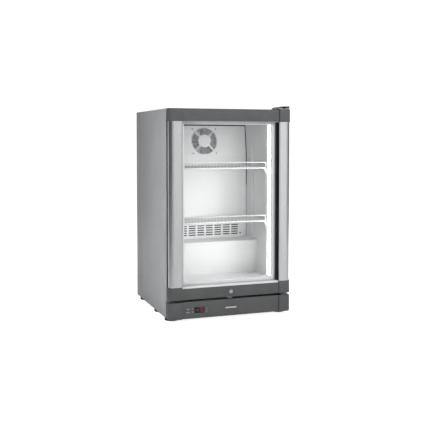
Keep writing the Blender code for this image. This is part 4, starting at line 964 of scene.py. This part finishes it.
def controls():
    """The window with its lit figure, the four buttons, the blank bar and the plain printed marks."""
    softened("display_window", SMOKED, "cabinet", "display_glass", 0.0004)
    softened("controller_housing", BLACK, "cabinet", "black_plastic", 0.0006)
    for name in BUTTONS:
        softened(name, ANTHRACITE, name, "grey_plastic", 0.0007, 3)
        b = limits(name)
        x, z = (b[0] + b[1]) / 2, (b[4] + b[5]) / 2
        dot = (x - 0.0017, x + 0.0017, b[2] - 0.0001, b[2] + 0.0003, z - 0.0013, z + 0.0013)
        box_piece(f"{name}_mark", [dot], 0.00008, 1, PRINT, name, "grey_plastic")
    softened("badge_bar", ALUMINIUM, "cabinet", "aluminium", 0.0004, 2, 60.0)

    # A seven-segment eight: w and h are its width and height, t the width of a segment.
    x0, x1, y0, _, z0, z1 = limits("display_window")
    depth = (y0 - 0.00012, y0 + 0.0001)
    w, h, t = 0.0085, 0.0150, 0.0021
    cx, cz = x1 - 0.0098, (z0 + z1) / 2
    a, b = cx - w / 2 + 0.0005, cx + w / 2 - 0.0005
    bars = [(a, b, *depth, cz + dz - t / 2, cz + dz + t / 2) for dz in (h / 2, 0.0, -h / 2)]
    for side in (-1, 1):
        for up in (-1, 1):
            x = cx + side * w / 2
            a, b = sorted((cz + up * (t / 2 + 0.0004), cz + up * (h / 2 - 0.0002)))
            bars.append((x - t / 2, x + t / 2, *depth, a, b))
    box_piece("display_digit", bars, 0.00008, 1, RED, "cabinet", "display_glass")

    # Generic printed marks: two short bars left of the buttons, and a small ring in the window.
    face = CAP_FRONT + RECESS
    x = limits("button_upper_left")[0] - 0.0145
    marks = []
    for row, lift, width in (("upper", 0.0027, 0.0100), ("lower", 0.0020, 0.0125)):
        z = limits(f"button_{row}_left")[4] + lift
        marks.append((x - width / 2, x + width / 2, face - 0.0002, face + 0.0002, z - 0.0011, z + 0.0011))
    box_piece("printed_marks", marks, 0.0001, 1, PRINT, "cabinet", "grey_plastic")
    lamp_mark = bmesh.new()
    ring = [(0.0011, 0.0), (0.0018, 0.0), (0.0018, 0.0002), (0.0011, 0.0002), (0.0011, 0.0)]
    turned(lamp_mark, (x0 + 0.0115, y0 - 0.00002, cz), FORWARDS, ring, 16)
    bmesh.ops.remove_doubles(lamp_mark, verts=lamp_mark.verts, dist=1e-7)
    finish_piece("display_running_mark", lamp_mark, PRINT, "cabinet", "display_glass")


def feet():
    """Levelling feet: a round pad on a plain stem."""
    for node in (f"foot_{row}_{side}" for row in ("front", "middle", "rear") for side in ("left", "right")):
        x0, x1, y0, y1, z0, z1 = limits(node)
        r = FOOT_RADIUS
        profile = [
            (0.0, z0), (r - 0.0012, z0), (r, z0 + 0.0012), (r, z0 + 0.0088), (r - 0.0016, z0 + 0.0100),
            (0.0090, z0 + 0.0104), (0.0060, z0 + 0.0104), (0.0060, z1), (0.0, z1),
        ]
        shape = bmesh.new()
        turned(shape, ((x0 + x1) / 2, (y0 + y1) / 2, 0.0), "Z", profile, 32)
        finish_piece(f"{node}_moulded", shape, RUBBER, "cabinet", "rubber", (node,))


# ---- hinges ----


def hinges():
    """Both brackets, and the cover of the upper one."""
    softened("top_hinge_bracket", ZINC, "cabinet", "zinc_steel", 0.0006)
    softened("bottom_hinge_bracket", ZINC, "cabinet", "zinc_steel", 0.0006)
    x0, x1, y0, y1, z0, z1 = limits("top_hinge_cover")
    # A bent black plate stands over a low grey body.
    plate = bmesh.new()
    outline = [
        (x0 + 0.004, z0 + 0.0022), (x0 + 0.016, z1 - 0.0070), (x1 - 0.001, z1 - 0.0064),
        (x1 - 0.001, z1), (x0 + 0.014, z1 - 0.0004), (x0 + 0.001, z0 + 0.0040),
    ]
    push_outline(plate, outline, "Y", y0 + 0.0005, y1)
    round_edges(plate, sharp_edges(plate, 20.0), 0.0004, 2)
    soft_box(plate, (x0 + 0.012, x0 + 0.024, y0 + 0.001, y1 - 0.004, z0, z0 + 0.0050), 0.0008)
    finish_piece("top_hinge_cover_plate", plate, GRIP, "cabinet", "black_plastic", ("top_hinge_cover",))
    body = bmesh.new()
    soft_box(body, (x0 - 0.002, x0 + 0.0120, y0, y1 - 0.004, z0, z0 + 0.0024), 0.0010, 3)
    soft_box(body, (x0 + 0.0245, x1 - 0.0005, y0 + 0.001, y1 - 0.004, z0, z0 + 0.0040), 0.0012, 3)
    finish_piece("top_hinge_cover_body", body, GREY, "cabinet", "grey_plastic")


# ---- machine compartment and rear ----


def machine_compartment():
    """The compressor with its pipes, pan and inlet, then the condenser and the spacers on the rear."""
    softened("compressor", BLACK_ENAMEL, "cabinet", "black_enamel", 0.0010, 2, 40.0)
    softened("drain_pan", GREY, "cabinet", "grey_plastic", 0.0007)
    for node in ("discharge_pipe", "suction_pipe"):
        repaint(node, COPPER)
    softened("power_inlet", BLACK, "cabinet", "black_plastic", 0.0008)
    x0, x1, y0, y1, z0, z1 = limits("power_inlet")
    pins = []
    for dx, dz in ((-0.0055, -0.0015), (0.0055, -0.0015), (0.0, 0.0025)):
        x, z = (x0 + x1) / 2 + dx, (z0 + z1) / 2 + dz
        pins.append((x - 0.0007, x + 0.0007, y0 + 0.0012, y1 - 0.0006, z - 0.0014, z + 0.0014))
    box_piece("power_inlet_pins", pins, 0.0002, 1, ZINC, "cabinet", "zinc_steel")

    # The condenser: one bent tube with wires welded across it, on four feet.
    x0, x1, y0, y1, z0, z1 = limits("condenser")
    radius = 0.0024
    tube_y = y1 - 0.0026
    route = serpentine(
        11, x0 + radius, x1 - radius, tube_y, z0 + radius + 0.002, z1 - z0 - 2 * radius - 0.004
    )
    shape = bmesh.new()
    merge_mesh(shape, bent_tube("condenser_tube", route, radius, 0.020))
    wire_y = tube_y - 0.0029
    for x in spread(x0 + 0.020, x1 - x0 - 0.040, 46):
        rod(shape, (x, wire_y, z0 + 0.001), (x, wire_y, z1 - 0.001), 0.0008, 5)
    half = 0.006
    for x in (x0 + half, x1 - half):
        for z in (z0 + half, z1 - half):
            soft_box(shape, (x - half, x + half, y0, tube_y, z - half, z + half), 0.001)
            screw(shape, (x, tube_y, z), "Y", 0.0032, 0.0014)
    finish_piece(
        "condenser_serpentine", shape, BLACK_ENAMEL, "cabinet", "black_enamel", ("condenser",),
        recalculate=False,
    )

    for side in ("left", "right"):
        softened(f"wall_spacer_{side}", BLACK, "cabinet", "black_plastic", 0.003, 4)


door_caps()
door_profiles()
door_glazing()
door_edge_trims()
glazing_ledges()
door_lock()
cabinet_shell()
inner_liner()
lamp()
evaporator()
shelf_rails()
wire_shelf("lower_shelf")
wire_shelf("upper_shelf")
plinth()
controls()
feet()
hinges()
machine_compartment()

# ---- floor, light and camera ----


# The room is white and dim, and a black flag stands in it towards FLAG_DIRECTION.
FLAG_DIRECTION = (-0.93, -0.36, 0.0)
FLAG_EDGES = (0.55, 0.92)
ROOM, FLAG = 0.27, 0.05
BACKDROP = 1.1
PAPER_GLOW = 0.9
# Each light's place, aim, width and height, power, whether gloss shows it, and its spread in degrees.
LIGHTS = {
    "overhead_softbox": ((0.3, -1.2, 2.6), (0.0, 0.0, 0.4), (2.2, 1.6), 12.0, True, 180.0),
    "left_key": ((-0.95, -0.52, 0.64), (-0.25, -0.12, 0.54), (0.25, 0.7), 5.6, False, 180.0),
    "high_front_softbox": ((0.95, -2.0, 1.75), (0.0, 0.05, 0.35), (0.9, 0.9), 38.0, False, 180.0),
    "rear_softbox": ((0.9, 2.4, 1.5), (0.0, 0.2, 0.4), (1.6, 1.2), 32.0, True, 180.0),
    "cabinet_fill": ((0.035, -0.234, 0.45), (0.035, 0.2, 0.45), (0.30, 0.56), 0.37, False, 75.0),
    "front_softbox": ((1.1, -2.9, 0.95), (0.0, 0.0, 0.45), (1.4, 2.6), 14.0, True, 180.0),
}
CAMERA_PLACE = (-0.9898, -2.8783, 0.6881)
CAMERA_TURN = (math.pi / 2 - 0.0448, 0.0, -0.3406)
LENS, CAMERA_SHIFT = 61.355, -0.10


def studio():
    shape = bmesh.new()
    bmesh.ops.create_grid(shape, x_segments=1, y_segments=1, size=30.0)
    mesh = bpy.data.meshes.new("studio_floor")
    shape.to_mesh(mesh)
    shape.free()
    floor = placed("studio_floor", mesh)
    # Matt white paper. The camera sees it lit to plain white, while it gives the object only a soft bounce.
    paper = new_material("matt_white_paper", "e8e8e8", 0.9)
    light_up(paper, "ffffff", PAPER_GLOW)
    seen = add_node(paper, "ShaderNodeLightPath").outputs["Is Camera Ray"]
    lit = add_node(paper, "ShaderNodeMath", {0: seen, 1: PAPER_GLOW}, operation="MULTIPLY")
    link(paper, lit.outputs["Value"], "Emission Strength")
    mesh.materials.append(paper)

    # The flag on the left turns round corners there dark.
    world = bpy.data.worlds.new("white_room_with_a_black_flag")
    world.use_nodes = True
    bpy.context.scene.world = world
    background = world.node_tree.nodes["Background"]
    background.inputs["Color"].default_value = colour("ffffff")
    direction = add_node(world, "ShaderNodeTexCoord").outputs["Generated"]
    towards_flag = add_node(
        world, "ShaderNodeVectorMath", {0: direction, 1: FLAG_DIRECTION}, operation="DOT_PRODUCT"
    ).outputs["Value"]
    low, high = FLAG_EDGES
    shade = {"Value": towards_flag, "From Min": low, "From Max": high, "To Min": ROOM, "To Max": FLAG}
    room = add_node(world, "ShaderNodeMapRange", shade).outputs["Result"]
    seen = add_node(world, "ShaderNodeLightPath").outputs["Is Camera Ray"]
    mix = {"Factor": seen, "A": room, "B": BACKDROP}
    strength = add_node(world, "ShaderNodeMix", mix).outputs["Result"]
    world.node_tree.links.new(strength, background.inputs["Strength"])

    for name, (place, aim, size, power, glossy, spread) in LIGHTS.items():
        light = bpy.data.lights.new(name, "AREA")
        light.shape = "RECTANGLE"
        light.size, light.size_y = size
        light.energy = power
        light.spread = math.radians(spread)
        holder = placed(name, light)
        holder.location = place
        holder.rotation_euler = (Vector(aim) - Vector(place)).to_track_quat("-Z", "Y").to_euler()
        holder.visible_camera = False
        holder.visible_glossy = glossy

    camera = bpy.data.cameras.new("studio_camera")
    camera.sensor_width = 36.0
    camera.lens = LENS
    camera.shift_y = CAMERA_SHIFT
    camera.clip_end = 100.0
    holder = placed("studio_camera", camera)
    holder.location = CAMERA_PLACE
    holder.rotation_euler = CAMERA_TURN
    bpy.context.scene.camera = holder
    bpy.context.scene.view_settings.view_transform = "Standard"


studio()
